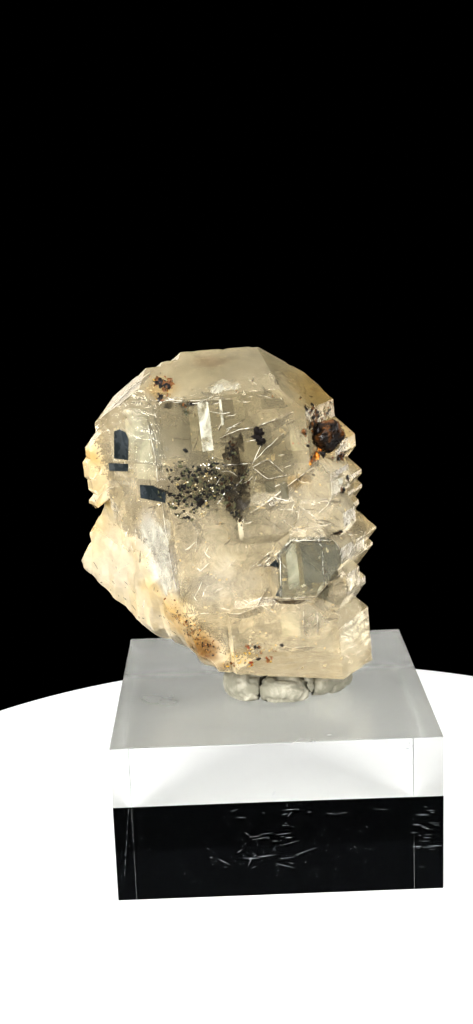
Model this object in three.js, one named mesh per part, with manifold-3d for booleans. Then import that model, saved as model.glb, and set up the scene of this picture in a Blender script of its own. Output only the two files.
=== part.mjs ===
// Quartz specimen on an acrylic display block, in millimetres, +Z up. The origin is the middle of the
// block's underside, +X is to the right and +Y is towards the back. The quartz is a stout crystal with
// many smaller crystals grown on it in parallel, so all of them share one set of face directions. Its
// lower left side and its underside are broken surfaces. Grey mounting tack, pressed down in several
// pinches, holds it on the block, and a grain of brown iron oxide sits in a pit on its right shoulder.
import * as THREE from "three";
import { ConvexGeometry } from "three/addons/geometries/ConvexGeometry.js";
import { mergeVertices } from "three/addons/utils/BufferGeometryUtils.js";
import Module from "manifold-3d";

const wasm = await Module();
wasm.setup();

// Driving dimensions
const BLOCK_SIDE = 38.1;
const BLOCK_HEIGHT = 19.05;
const BLOCK_ARRIS = 0.35;
const GAP = 0.3;
const CRYSTAL_LEAN = THREE.MathUtils.degToRad(-4.2);
const UNDERSIDE_HEIGHT = 23.6;
const UNDERSIDE_SLOPE = 0.09;

// Quartz: the rhombohedral faces stand 38.2 degrees off the prism faces' normals, towards the long axis.
const RHOMB_RISE = THREE.MathUtils.degToRad(38.2);
const FACE_COUNT = 6;
const FRONT_AZIMUTH = THREE.MathUtils.degToRad(-90);
const FACE_STEP = THREE.MathUtils.degToRad(60);

// Materials
const quartzMaterial = new THREE.MeshStandardMaterial({
  color: 0xe9dfc4,
  roughness: 0.12,
  metalness: 0,
  transparent: true,
  opacity: 0.6,
});
const ironMaterial = new THREE.MeshStandardMaterial({
  color: 0x3a2013,
  roughness: 0.55,
  metalness: 0.1,
});
const tackMaterial = new THREE.MeshStandardMaterial({
  color: 0xb4b2a2,
  roughness: 0.7,
  metalness: 0,
});
const acrylicMaterial = new THREE.MeshStandardMaterial({
  color: 0xf4f6f4,
  roughness: 0.04,
  metalness: 0,
  transparent: true,
  opacity: 0.35,
});

// Corners closer than this, in millimetres, are one corner.
const SAME_CORNER = 1e-4;
const SAME_CONVEX_CORNER = 1e-3;

// Turns a closed geometry into a solid for joining and cutting.
function toSolid(geometry) {
  const bare = new THREE.BufferGeometry();
  const loose = geometry.index ? geometry.toNonIndexed() : geometry;
  bare.setAttribute("position", loose.getAttribute("position"));
  const merged = mergeVertices(bare, SAME_CORNER);
  return new wasm.Manifold(
    new wasm.Mesh({
      numProp: 3,
      vertProperties: merged.attributes.position.array,
      triVerts: new Uint32Array(merged.index.array),
    }),
  );
}

// Turns a solid back into a flat-shaded geometry.
function toGeometry(solid) {
  const mesh = solid.getMesh();
  const indexed = new THREE.BufferGeometry();
  const positions = new Float32Array(mesh.numVert * 3);
  for (let i = 0; i < mesh.numVert; i++) {
    const start = i * mesh.numProp;
    positions.set(mesh.vertProperties.subarray(start, start + 3), i * 3);
  }
  indexed.setAttribute("position", new THREE.BufferAttribute(positions, 3));
  indexed.setIndex(new THREE.BufferAttribute(mesh.triVerts, 1));
  const flat = indexed.toNonIndexed();
  flat.computeVertexNormals();
  return flat;
}

// The outward normal of a crystal face: index 0 faces the front, and the rest follow every 60 degrees to
// the right.
function faceNormal(index, rise) {
  const azimuth = FRONT_AZIMUTH + index * FACE_STEP;
  return new THREE.Vector3(
    Math.cos(rise) * Math.cos(azimuth),
    Math.cos(rise) * Math.sin(azimuth),
    Math.sin(rise),
  );
}

// Three planes that enclose less than LEAST_CORNER of a unit cube meet in no corner, and a corner may
// stand OUTSIDE millimetres past a plane.
const LEAST_CORNER = 1e-6;
const OUTSIDE = 1e-5;

// The corners of the convex solid that the half-spaces normal . p <= distance leave.
function cornersOf(faces) {
  const corners = [];
  for (let i = 0; i < faces.length; i++) {
    for (let j = i + 1; j < faces.length; j++) {
      for (let k = j + 1; k < faces.length; k++) {
        const [a, b, c] = [faces[i], faces[j], faces[k]];
        const bc = new THREE.Vector3().crossVectors(b.normal, c.normal);
        const volume = a.normal.dot(bc);
        if (Math.abs(volume) < LEAST_CORNER) continue;
        const ca = new THREE.Vector3().crossVectors(c.normal, a.normal);
        const ab = new THREE.Vector3().crossVectors(a.normal, b.normal);
        const corner = bc
          .multiplyScalar(a.distance)
          .add(ca.multiplyScalar(b.distance))
          .add(ab.multiplyScalar(c.distance))
          .divideScalar(volume);
        const inside = faces.every(
          (f) => f.normal.dot(corner) <= f.distance + OUTSIDE,
        );
        const known = corners.some(
          (p) => p.distanceTo(corner) < SAME_CONVEX_CORNER,
        );
        if (inside && !known) corners.push(corner);
      }
    }
  }
  return corners;
}

// One doubly terminated quartz crystal. at is its middle, radius the distance of its prism faces from its
// long axis, half the half height of its prism. sides, tops and bases give single faces, by index, a
// distance of their own, and turned adds faces that stand at an azimuth and a rise of their own, in
// degrees.
function quartz({
  at,
  radius,
  half,
  sides = {},
  tops = {},
  bases = {},
  turned = [],
}) {
  const slope =
    Math.cos(RHOMB_RISE) * radius + Math.sin(RHOMB_RISE) * half;
  const faces = [];
  for (let i = 0; i < FACE_COUNT; i++) {
    faces.push({ normal: faceNormal(i, 0), distance: sides[i] ?? radius });
    faces.push({ normal: faceNormal(i, RHOMB_RISE), distance: tops[i] ?? slope });
    faces.push({ normal: faceNormal(i, -RHOMB_RISE), distance: bases[i] ?? slope });
  }
  for (const { azimuth, rise, distance } of turned) {
    const normal = new THREE.Vector3().setFromSphericalCoords(
      1,
      THREE.MathUtils.degToRad(90 - rise),
      THREE.MathUtils.degToRad(azimuth),
    );
    faces.push({
      normal: new THREE.Vector3(normal.z, normal.x, normal.y),
      distance,
    });
  }
  const geometry = new ConvexGeometry(cornersOf(faces));
  geometry.rotateY(CRYSTAL_LEAN);
  geometry.translate(...at);
  return toSolid(geometry);
}

// A small crystal whose right corner, or left corner when side is -1, stands at tip.
function tooth({ tip, radius, side, ...rest }) {
  const reach = radius / Math.cos(FACE_STEP / 2);
  const at = [tip[0] - side * reach, tip[1], tip[2]];
  return quartz({ at, radius, ...rest });
}

// The stout crystal in the middle: a hexagonal prism with a chisel top, whose ridge runs left to right
// near the front
const MAIN_MIDDLE = [-3, 0, 40];
const mainCrystal = {
  at: MAIN_MIDDLE,
  radius: 12,
  half: 22,
  sides: { 0: 9, 1: 12.13, 2: 9.76, 3: 6, 4: 9.4, 5: 11.3 },
  tops: { 0: 18, 1: 18.72, 2: 16.85, 3: 40, 4: 40, 5: 19.24 },
  turned: [{ azimuth: 87.4, rise: 37.6, distance: 9.66 }],
};

// Its left half, a crystal of its own that ends a little lower and has a broad face turned to the front
// left
const leftCrystal = {
  at: MAIN_MIDDLE,
  radius: 12,
  half: 22,
  sides: { 0: 8.94, 1: 4, 2: 3, 3: 5.5, 4: 12.13, 5: 40 },
  tops: { 0: 17.93, 1: 13, 2: 12, 3: 8.5, 4: 18.9, 5: 21.65 },
  turned: [{ azimuth: 234.9, rise: 0, distance: 12.0 }],
};

// The low step between the two
const shoulderCrystal = {
  at: MAIN_MIDDLE,
  radius: 12,
  half: 22,
  sides: { 0: 8.97, 1: 4, 2: 3, 3: 5.7, 4: 11, 5: 11.2 },
  tops: { 0: 17.96, 1: 13, 2: 12, 3: 9.15, 4: 40, 5: 20.5 },
};

// Smaller crystals on the right edge, from the shoulder down. Their corners are the teeth of the outline.
const rightTeeth = [
  { tip: [11.1, -2.4, 50.2], radius: 5.0, half: 0.75 },
  { tip: [11.75, -2.9, 46.5], radius: 4.0, half: 0.3 },
  { tip: [11.85, -2.2, 44.6], radius: 3.6, half: 0.25 },
  { tip: [11.35, -3.0, 42.8], radius: 3.4, half: 0.3 },
  { tip: [13.5, -2.4, 39.2], radius: 5.2, half: 0.15 },
  { tip: [13.1, -2.0, 37.15], radius: 4.6, half: 0.2 },
  { tip: [12.1, -2.8, 32.8], radius: 4.4, half: 0.45 },
  { tip: [12.4, -2.2, 28.7], radius: 4.6, half: 0.25 },
];

// Shields grown on the front, right of the middle. The last is the large clear six-sided face.
const frontShields = [
  {
    at: [3.6, -4.2, 46.6],
    radius: 5.2,
    half: 2.5,
    sides: { 1: 5.94, 5: 6.6 },
    tops: { 0: 7.6, 1: 5.41, 5: 9 },
    bases: { 0: 5.9, 5: 8 },
    turned: [{ azimuth: 212, rise: 45, distance: 2.2 }],
  },
  {
    at: [-0.6, -5.8, 42.6],
    radius: 4.2,
    half: 1.7,
    sides: { 1: 5.5, 5: 4.1 },
    tops: { 0: 4.66, 1: 5.67, 5: 4.0 },
    bases: { 0: 4.17 },
  },
  {
    at: [5.4, -5.7, 42.4],
    radius: 4.0,
    half: 1.5,
    sides: { 1: 4.95 },
    tops: { 0: 4.6, 1: 4.33 },
    bases: { 0: 3.93, 1: 4.54 },
  },
  { at: [7.2, -6.4, 34.6], radius: 3.3, half: 1.1, sides: { 5: 1.9 } },
  { at: [0.7, -7.4, 37.4], radius: 2.2, half: 0.2 },
  {
    at: [4.7, -4.7, 37.6],
    radius: 6.1,
    half: 3.4,
    sides: { 1: 6.25, 5: 6.2 },
    tops: { 0: 6.65, 1: 5.85, 5: 5.75 },
    bases: { 0: 6.9, 1: 5.1, 5: 7.4 },
  },
];

// The lower body on the right, the wings on the lower left and the rounded teeth on the left edge
const lowerBody = {
  at: [3.6, -2.2, 24.6],
  radius: 7.9,
  half: 4.2,
  sides: { 0: 7.5, 5: 10.6 },
  tops: { 0: 10.9, 5: 13 },
  bases: { 0: 12, 1: 10.2, 2: 10.2, 5: 14 },
};
const leftWings = [
  { tip: [-23.9, 0.4, 35.8], radius: 7.4, half: 0.5, sides: { 0: 4.6 } },
  { tip: [-22.2, -0.6, 39.2], radius: 6.6, half: 1.0, sides: { 0: 4.0 } },
];
const leftTeeth = [
  { tip: [-21.35, -3.4, 50.6], radius: 2.6, half: 0.7, sides: { 0: 1.2 } },
  { tip: [-21.75, -3.2, 48.6], radius: 2.8, half: 0.9, sides: { 0: 1.3 } },
  { tip: [-21.3, -3.4, 46.7], radius: 2.6, half: 0.6, sides: { 0: 1.2 } },
  { tip: [-21.3, -3.6, 44.7], radius: 2.8, half: 0.2, sides: { 0: 1.6 } },
  { tip: [-20.9, -2.6, 42.3], radius: 2.6, half: 0.4, sides: { 0: 1.4 } },
];

// Parallel crystals on the back
const backShields = [
  { at: [-8.5, 2.6, 38.0], radius: 5.2, half: 3.0 },
  { at: [0.6, 3.0, 33.5], radius: 5.0, half: 2.4 },
  { at: [5.4, 1.6, 40.4], radius: 4.6, half: 1.0 },
  { at: [-3.4, 2.6, 43.6], radius: 4.4, half: 0.8 },
  { at: [4.8, 2.2, 28.6], radius: 4.6, half: 1.4 },
  { at: [-13.4, 1.8, 44.6], radius: 3.8, half: 1.6 },
  { at: [-4.6, 3.2, 28.4], radius: 4.2, half: 1.0 },
];

// A thick slab whose near face is a broken surface: a bowed grid through at, square to normal, with
// shell-like ripples that spread from one corner and shallow dents. In front of its lip the grid no
// longer twists. The waves' steps are in radians per millimetre, and their shifts in radians.
function breakTool({ at, normal, reach, depth, steps, bow, shell, dent }) {
  const out = new THREE.Vector3(...normal).normalize();
  const across = new THREE.Vector3(0, 1, 0).cross(out).normalize();
  const along = new THREE.Vector3().crossVectors(out, across);
  const geometry = new THREE.BoxGeometry(
    2 * reach,
    2 * reach,
    depth,
    steps,
    steps,
    1,
  );
  const position = geometry.getAttribute("position");
  const point = new THREE.Vector3();
  for (let i = 0; i < position.count; i++) {
    point.fromBufferAttribute(position, i);
    const { x, y } = point;
    const behindLip = Math.max(y, bow.lip + bow.lipSlope * x);
    const bowed =
      bow.lift + bow.slope * x + bow.curve * x * x + bow.twist * x * behindLip;
    const shells =
      shell.height * Math.sin(shell.step * Math.hypot(x + reach, y + reach));
    const dents =
      dent.height *
      Math.sin(dent.stepX * x + dent.shiftX) *
      Math.cos(dent.stepY * y + dent.shiftY);
    const chips = dent.chip * Math.sin(dent.chipX * x + dent.chipY * y);
    const height = point.z < 0 ? bowed + shells + dents + chips : depth;
    const world = new THREE.Vector3(...at)
      .addScaledVector(across, x)
      .addScaledVector(along, y)
      .addScaledVector(out, height);
    position.setXYZ(i, world.x, world.y, world.z);
  }
  return toSolid(geometry);
}

const leftBreak = {
  at: [-13.1, -1.1, 27.7],
  normal: [-0.68, -0.49, -0.56],
  reach: 17,
  depth: 30,
  steps: 26,
  bow: {
    lift: 0.72,
    slope: 0.11,
    curve: -0.02,
    twist: 0.041,
    lip: -6.7,
    lipSlope: 0.29,
  },
  shell: { height: 0.16, step: 1.25 },
  dent: {
    height: 0.3,
    stepX: 0.55,
    shiftX: 1.1,
    stepY: 0.47,
    shiftY: -0.6,
    chip: 0.15,
    chipX: 1.7,
    chipY: 1.3,
  },
};

// The grain of iron oxide. Its two dents are a share of its radius deep.
const grain = {
  at: [7.5, -6.9, 52.3],
  radii: [1.85, 1.4, 1.8],
  turn: 28,
  facets: 2,
  wide: { depth: 0.12, stepX: 3.1, stepZ: 4.3, shift: 1.7 },
  fine: { depth: 0.09, stepX: 2.0, stepY: 5.2 },
};

// A faceted ball, dented by waves and stretched to the grain's radii. swell grows it on every side.
function ironGrain(swell) {
  const { at, radii, turn, facets, wide, fine } = grain;
  const geometry = new THREE.IcosahedronGeometry(1, facets);
  const position = geometry.getAttribute("position");
  const point = new THREE.Vector3();
  for (let i = 0; i < position.count; i++) {
    point.fromBufferAttribute(position, i).normalize();
    const wideDent =
      wide.depth *
      Math.sin(wide.stepX * point.x + wide.shift) *
      Math.sin(wide.stepZ * point.z);
    const fineDent =
      fine.depth * Math.cos(fine.stepY * point.y + fine.stepX * point.x);
    point.multiplyScalar(1 + wideDent + fineDent);
    point.multiply(new THREE.Vector3(...radii).addScalar(swell));
    position.setXYZ(i, point.x, point.y, point.z);
  }
  geometry.rotateZ(THREE.MathUtils.degToRad(turn));
  geometry.translate(...at);
  return geometry;
}

// The plane of the quartz's underside, lowered by drop, for trimming: side 1 keeps what is above it, -1
// what is below.
function underside(drop, side) {
  const length = Math.hypot(UNDERSIDE_SLOPE, 1);
  const normal = [(side * UNDERSIDE_SLOPE) / length, 0, side / length];
  return [normal, (side * (UNDERSIDE_HEIGHT - drop)) / length];
}

// All the quartz as one solid: the crystals grown together, broken off at the lower left and trimmed flat
// below, with the pit that holds the grain.
function quartzCluster() {
  let joined = quartz(mainCrystal);
  for (const crystal of [
    leftCrystal,
    shoulderCrystal,
    ...frontShields,
    lowerBody,
    ...backShields,
  ])
    joined = joined.add(quartz(crystal));
  for (const crystal of rightTeeth)
    joined = joined.add(tooth({ ...crystal, side: 1 }));
  for (const crystal of [...leftWings, ...leftTeeth])
    joined = joined.add(tooth({ ...crystal, side: -1 }));
  return joined
    .subtract(breakTool(leftBreak))
    .trimByPlane(...underside(0, 1))
    .subtract(toSolid(ironGrain(GAP)));
}

// The pinches of mounting tack under the quartz, in the order in which they were pressed on
const tackPinches = [
  { name: "tack_front", at: [1.6, -6.2, 20.3], size: [3.1, 2.2, 1.7], turn: 6 },
  { name: "tack_centre", at: [1.5, -4.7, 22.3], size: [1.7, 2.2, 2.0], turn: 0 },
  { name: "tack_left", at: [-2.9, -3.9, 20.5], size: [2.7, 2.5, 3.0], turn: 30 },
  { name: "tack_roll", at: [4.0, -4.8, 21.2], size: [0.9, 1.9, 2.4], turn: 10 },
  { name: "tack_right", at: [6.4, -3.0, 20.6], size: [3.6, 2.1, 2.9], turn: 24 },
  { name: "tack_core", at: [1.9, -0.4, 21.0], size: [6.4, 4.0, 3.0], turn: 6 },
];
const TACK_SEGMENTS = [26, 14];
const TACK_SQUARENESS = 0.8;
const TACK_WAVE = { height: 0.05, stepX: 4, stepY: 3 };

// A pinch of tack: a ball pressed to a pad with soft corners, low waves over it. swell grows it on every
// side.
function tackPinch({ at, size, turn }, swell) {
  const geometry = new THREE.SphereGeometry(1, ...TACK_SEGMENTS);
  const position = geometry.getAttribute("position");
  const point = new THREE.Vector3();
  const squared = (value) =>
    Math.sign(value) * Math.abs(value) ** TACK_SQUARENESS;
  for (let i = 0; i < position.count; i++) {
    point.fromBufferAttribute(position, i);
    point.set(squared(point.x), squared(point.y), squared(point.z));
    const wave =
      TACK_WAVE.height *
      Math.sin(TACK_WAVE.stepX * point.x + at[0]) *
      Math.cos(TACK_WAVE.stepY * point.y + at[1]);
    point.multiplyScalar(1 + wave);
    point.multiply(new THREE.Vector3(...size).addScalar(swell));
    position.setXYZ(i, point.x, point.y, point.z);
  }
  geometry.rotateX(Math.PI / 2);
  geometry.rotateZ(THREE.MathUtils.degToRad(turn));
  geometry.translate(...at);
  return toSolid(geometry);
}

const root = new THREE.Group();

// Adds a solid to the group as a named mesh.
function addNode(name, solid, material) {
  const mesh = new THREE.Mesh(toGeometry(solid), material);
  mesh.name = name;
  root.add(mesh);
}

// The block, with its arrises taken off.
function blockSolid() {
  const half = BLOCK_SIDE / 2;
  const inner = half - BLOCK_ARRIS;
  const points = [];
  for (const x of [-1, 1]) {
    for (const y of [-1, 1]) {
      for (const [z, inside] of [
        [0, BLOCK_ARRIS],
        [BLOCK_HEIGHT, BLOCK_HEIGHT - BLOCK_ARRIS],
      ]) {
        points.push(new THREE.Vector3(x * inner, y * inner, z));
        points.push(new THREE.Vector3(x * half, y * inner, inside));
        points.push(new THREE.Vector3(x * inner, y * half, inside));
      }
    }
  }
  return toSolid(new ConvexGeometry(points));
}

addNode("acrylic_block", blockSolid(), acrylicMaterial);
addNode("quartz_crystal", quartzCluster(), quartzMaterial);
addNode("iron_oxide_grain", toSolid(ironGrain(0)), ironMaterial);
tackPinches.forEach((pinch, index) => {
  let piece = tackPinch(pinch, 0)
    .trimByPlane([0, 0, 1], BLOCK_HEIGHT + GAP)
    .trimByPlane(...underside(GAP, -1));
  for (const earlier of tackPinches.slice(0, index))
    piece = piece.subtract(tackPinch(earlier, GAP));
  addNode(pinch.name, piece, tackMaterial);
});

export default root;
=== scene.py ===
"""Quartz specimen on a clear acrylic display block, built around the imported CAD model. Metres, +Z up."""

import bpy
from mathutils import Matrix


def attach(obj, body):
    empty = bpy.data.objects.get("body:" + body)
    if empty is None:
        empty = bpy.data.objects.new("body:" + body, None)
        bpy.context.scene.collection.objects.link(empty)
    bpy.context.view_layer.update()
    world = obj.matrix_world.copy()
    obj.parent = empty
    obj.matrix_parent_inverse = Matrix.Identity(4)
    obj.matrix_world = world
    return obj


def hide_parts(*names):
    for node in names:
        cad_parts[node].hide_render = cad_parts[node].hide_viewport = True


bl_info = {
    "name": "Quartz specimen on a display block",
    "version": (1, 0, 0),
    "blender": (4, 5, 0),
    "location": "3D View > Sidebar > Quartz",
    "description": "Builds a stained quartz cluster, its mounting tack, its clear block and a plain stage",
    "category": "Object",
}

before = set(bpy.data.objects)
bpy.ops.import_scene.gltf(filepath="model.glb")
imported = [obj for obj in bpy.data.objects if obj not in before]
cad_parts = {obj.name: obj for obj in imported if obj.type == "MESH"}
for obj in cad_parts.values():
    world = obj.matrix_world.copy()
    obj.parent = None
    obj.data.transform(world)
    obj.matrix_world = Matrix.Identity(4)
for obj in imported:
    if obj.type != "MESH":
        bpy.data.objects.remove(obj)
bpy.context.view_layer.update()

import math

import bmesh
import bpy
import numpy as np
from mathutils import Matrix, Vector

MM = 0.001
BODY = "root"

# The crystal's long axis leans to the left. Its broken lower left side follows a plane. The block stands on
# the origin. Places and lengths are in millimetres.
LEAN = math.radians(-4.2)
AXIS = np.array([math.sin(LEAN), 0.0, math.cos(LEAN)])
BREAK_POINT = np.array([-13.1, -1.1, 27.7])
BREAK_NORMAL = np.array([-0.68, -0.49, -0.56]) / np.linalg.norm([0.68, 0.49, 0.56])
BLOCK_SIDE = 38.1
BLOCK_TOP = 19.05

# Colours of the quartz, its stains and its painted shade and light, in linear light
CREAM = (0.84, 0.735, 0.53)
WARM_CREAM = (0.93, 0.83, 0.66)
DEEP_CREAM = (0.86, 0.74, 0.53)
PALE = (0.87, 0.79, 0.62)
# The next colour is painted light on the faces that look backwards
BACK_PALE = (0.92, 0.93, 0.89)
MILK = (0.95, 0.92, 0.86)
CLEAR_GREY = (0.60, 0.575, 0.445)
LIGHT_GREY = (0.70, 0.68, 0.55)
TEA_GREY = (0.42, 0.38, 0.265)
# The next colour is also that of the painted shade on the clearer top and core
TEA_SHADE = (0.47, 0.415, 0.28)
HONEY = (0.78, 0.615, 0.33)
DARK_HONEY = (0.60, 0.44, 0.18)
AMBER = (0.86, 0.65, 0.30)
OCHRE = (0.68, 0.44, 0.13)
BROWN = (0.36, 0.20, 0.06)
DARK_BROWN = (0.30, 0.165, 0.05)
BROWN_HAZE = (0.36, 0.26, 0.16)
SMOKE = (0.27, 0.23, 0.145)
CLOUD_SHADE = (0.84, 0.83, 0.80)
CLOUD_LIGHT = (1.06, 1.05, 1.03)
THIN_TINT = (0.82, 0.84, 0.74)

# Colours of the veils, panels and cracks
# The next colour is that of the bright bars, painted reflections where inner faces throw back the light
STRIPE_REFLECTION = (0.60, 0.585, 0.49)
# The next colour is that of the fibrous milk, and of a painted highlight near the roof
WOOL_AND_HIGHLIGHT = (0.60, 0.58, 0.49)
PANEL_PALE = (0.86, 0.87, 0.80)
CRACK_PALE = (0.95, 0.93, 0.86)
DARK_LINE = (0.10, 0.075, 0.045)
OLIVE_SHADE = (0.16, 0.145, 0.095)
SOOT = (0.040, 0.030, 0.014)
PEAT = (0.040, 0.028, 0.013)
# SLATE and PALE_SLATE colour the painted dark reflections
SLATE = (0.020, 0.027, 0.028)
PALE_SLATE = (0.05, 0.06, 0.066)

# Colours of the grains, and sets of them to draw from
IRON_BLACK = (0.010, 0.006, 0.004)
IRON_BROWN = (0.17, 0.075, 0.02)
BURNT_BROWN = (0.05, 0.026, 0.01)
OCHRE_GRAIN = (0.44, 0.29, 0.055)
RUST = (0.22, 0.05, 0.015)
# The next two colour the painted glints, flat flakes that stand in for inner reflections
GLINT_GREY = (0.10, 0.10, 0.085)
GREY_GLINTS = (MILK, CREAM, SMOKE, GLINT_GREY, PALE)
MOSS_BLACK = (0.02, 0.02, 0.018)
MOSS_OLIVE = (0.10, 0.10, 0.055)
MOSS_TAN = (0.30, 0.24, 0.12)
MOSS_PALE = (0.55, 0.5, 0.36)
DARK_IRON = (IRON_BLACK, IRON_BLACK, IRON_BROWN)
ORANGES = ((0.50, 0.19, 0.025), (0.66, 0.34, 0.07), (0.24, 0.07, 0.012), (0.34, 0.12, 0.02))
DARK_MOSS = (IRON_BLACK, MOSS_BLACK, MOSS_OLIVE)
PALE_MOSS = (MOSS_OLIVE, MOSS_TAN, MILK, MOSS_PALE, MOSS_TAN, PALE)

# Colours of the tack and the acrylic
TACK_SHADE = (0.26, 0.25, 0.20)
TACK_LIGHT = (0.41, 0.39, 0.325)
ACRYLIC_TINT = (0.96, 0.965, 0.955)
WORN_TINT = (0.97, 0.975, 0.935)
ACRYLIC_SHEEN = (0.10, 0.115, 0.135)
SCRATCH_GREY = (0.30, 0.32, 0.34)
SCRATCH_WHITE = (0.85, 0.86, 0.86)


# Noise and arrays

# The length of a noise's table, which is a power of two; a shift, in cells, that keeps places above 0; large
# odd numbers that mix a corner's three numbers into one; and the least length that a vector is divided by
NOISE_SIZE = 8192
NOISE_SHIFT = 512.0
HASH_STEPS = (73856093, 19349663, 83492791)
SHORTEST = 1e-12


def value_noise(points, cell, seed):
    """Random heights from -1 to 1 on a cubic lattice, blended between its corners with smooth steps."""
    table = np.random.default_rng(seed).uniform(-1.0, 1.0, NOISE_SIZE)
    place = np.asarray(points, float) / cell + NOISE_SHIFT
    corner = np.floor(place).astype(np.int64)
    t = place - corner
    t = t * t * (3.0 - 2.0 * t)
    total = np.zeros(len(place))
    for offset in np.ndindex(2, 2, 2):
        a, b, c = ((corner + offset) * HASH_STEPS).T
        share = np.where(offset, t, 1 - t)
        total += share[:, 0] * share[:, 1] * share[:, 2] * table[(a ^ b ^ c) & (NOISE_SIZE - 1)]
    return total


def layered_noise(points, cell, seed, layers=3):
    """Value noise summed over layers, each at half the cell and half the height of the one before."""
    heights = 0.5 ** np.arange(layers)
    parts = [value_noise(points, cell * h, seed + i) * h for i, h in enumerate(heights)]
    return np.sum(parts, axis=0) / heights.sum()


def smooth_step(low, high, value):
    """0 below low, 1 above high, and the cubic 3tt - 2ttt between them."""
    t = np.clip((np.asarray(value) - low) / (high - low), 0.0, 1.0)
    return t * t * (3.0 - 2.0 * t)


def unit(vectors):
    """Vectors scaled to length 1."""
    return vectors / np.maximum(np.linalg.norm(vectors, axis=-1, keepdims=True), SHORTEST)


def join_shapes(shapes):
    """Several (vertices, faces) pairs as one pair."""
    starts = np.cumsum([0] + [len(v) for v, _ in shapes[:-1]])
    vertices = np.concatenate([v for v, _ in shapes])
    return vertices, np.concatenate([fs + start for (_, fs), start in zip(shapes, starts)])


def halved(quads):
    """Four-sided faces as two triangles each."""
    quads = np.asarray(quads)
    return np.concatenate([quads[:, [0, 1, 2]], quads[:, [0, 2, 3]]])


# Meshes and pieces


def read_array(collection, name, width, kind=float):
    """One value of each item of a mesh's collection, as rows of width numbers."""
    values = np.empty(len(collection) * width, kind)
    collection.foreach_get(name, values)
    return values.reshape(-1, width)


def add_colours(mesh, name, colours):
    """Stores a colour on each point of a mesh."""
    attribute = mesh.color_attributes.new(name, "FLOAT_COLOR", "POINT")
    rgba = np.concatenate([colours, np.ones((len(colours), 1))], 1)
    attribute.data.foreach_set("color", rgba.ravel())


def add_values(mesh, name, values):
    """Stores a number on each point of a mesh."""
    attribute = mesh.attributes.new(name, "FLOAT", "POINT")
    attribute.data.foreach_set("value", np.asarray(values, np.float32))


def finish_piece(name, mesh, smooth=True, sharp_above=None):
    """Links a mesh as a piece that rides on the part and with its shading."""
    piece = bpy.data.objects.new(name, mesh)
    bpy.context.scene.collection.objects.link(piece)
    mesh.polygons.foreach_set("use_smooth", np.full(len(mesh.polygons), smooth))
    if sharp_above is not None:
        mesh.set_sharp_from_angle(angle=math.radians(sharp_above))
    mesh.update()
    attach(piece, BODY)
    return piece


def joined_piece(name, shapes, material, smooth=False, tints=None):
    """Shapes in millimetres as one piece, with a tint on each of its points where tints are given."""
    vertices, faces = join_shapes(shapes)
    mesh = bpy.data.meshes.new(name)
    mesh.from_pydata((vertices * MM).tolist(), [], faces.tolist())
    mesh.materials.append(material)
    if tints is not None:
        add_colours(mesh, "tint", tints)
    return finish_piece(name, mesh, smooth)


# Where the surface lies

# Rays tested at a time, the least scale for a triangle that lies along the rays, and a y in front of all
# the quartz, in millimetres
RAY_BATCH = 500
LEAST_SCALE = 1e-9
BEFORE_FRONT = -40.0


def skin_of(node):
    """The triangles of a CAD node in millimetres, as an array of corners."""
    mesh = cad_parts[node].data
    mesh.calc_loop_triangles()
    order = read_array(mesh.loop_triangles, "vertices", 3, np.int32)
    return read_array(mesh.vertices, "co", 3)[order] / MM


QUARTZ_SKIN = skin_of("quartz_crystal")


def first_hit(points, direction):
    """Where rays from points along one direction first meet the quartz, and its normal there. Each ray is
    tested against each triangle by its shares of the triangle's corners. Misses are nan."""
    direction = unit(np.asarray(direction, float))
    a, b, c = QUARTZ_SKIN[:, 0], QUARTZ_SKIN[:, 1], QUARTZ_SKIN[:, 2]
    side_1, side_2 = b - a, c - a
    normals = unit(np.cross(side_1, side_2))
    cross = np.cross(direction, side_2)
    scale = np.einsum("ij,ij->i", side_1, cross)
    scale = np.where(np.abs(scale) < LEAST_SCALE, LEAST_SCALE, scale)
    hits = np.full((len(points), 3), np.nan)
    found = np.zeros((len(points), 3))
    for start in range(0, len(points), RAY_BATCH):
        batch = np.asarray(points)[start : start + RAY_BATCH]
        away = batch[:, None, :] - a[None]
        share_1 = np.einsum("nij,ij->ni", away, cross) / scale
        turned = np.cross(away, side_1[None])
        share_2 = turned @ direction / scale
        reach = np.einsum("nij,ij->ni", turned, side_2) / scale
        inside = (share_1 >= 0) & (share_2 >= 0) & (share_1 + share_2 <= 1) & (reach > 0)
        reach = np.where(inside, reach, np.inf)
        nearest = reach.argmin(1)
        distance = reach[np.arange(len(batch)), nearest]
        good = np.isfinite(distance)
        rows = np.arange(start, start + len(batch))[good]
        hits[rows] = batch[good] + direction * distance[good, None]
        found[rows] = normals[nearest[good]]
    return hits, found


def on_front(x, z):
    """The points of the quartz's front at x and z, in millimetres, and the normals there."""
    x, z = np.broadcast_arrays(np.asarray(x, float), np.asarray(z, float))
    start = np.stack([x.ravel(), np.full(x.size, BEFORE_FRONT), z.ravel()], 1)
    return first_hit(start, (0.0, 1.0, 0.0))


# Shapes

# A grain: its rings and spokes, and the ranges of its stretch and of its corners' distances
CHIP_GRID = (2, 6)
CHIP_STRETCH = (0.5, 2.3)
CHIP_ROUGH = (0.5, 1.35)
# A sheet, in millimetres: its rings and spokes, half its thickness, its rumple, how deep it lies behind the
# front, and the least y where there is no front
SHEET_GRID = (28, 28)
HALF_SHEET = 0.04
SHEET_RUMPLE = 0.35
SHEET_DEPTH = 0.5
NO_FRONT = -2.0
# A crack: the step along its path, how much of its width lies to each side, its lift off the skin, and how
# far its path is shaken, in millimetres
CRACK_STEP = 0.25
CRACK_WIDTH_SHARE = 0.3
CRACK_LIFT = 0.015
CRACK_SHAKE = 0.05


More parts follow.
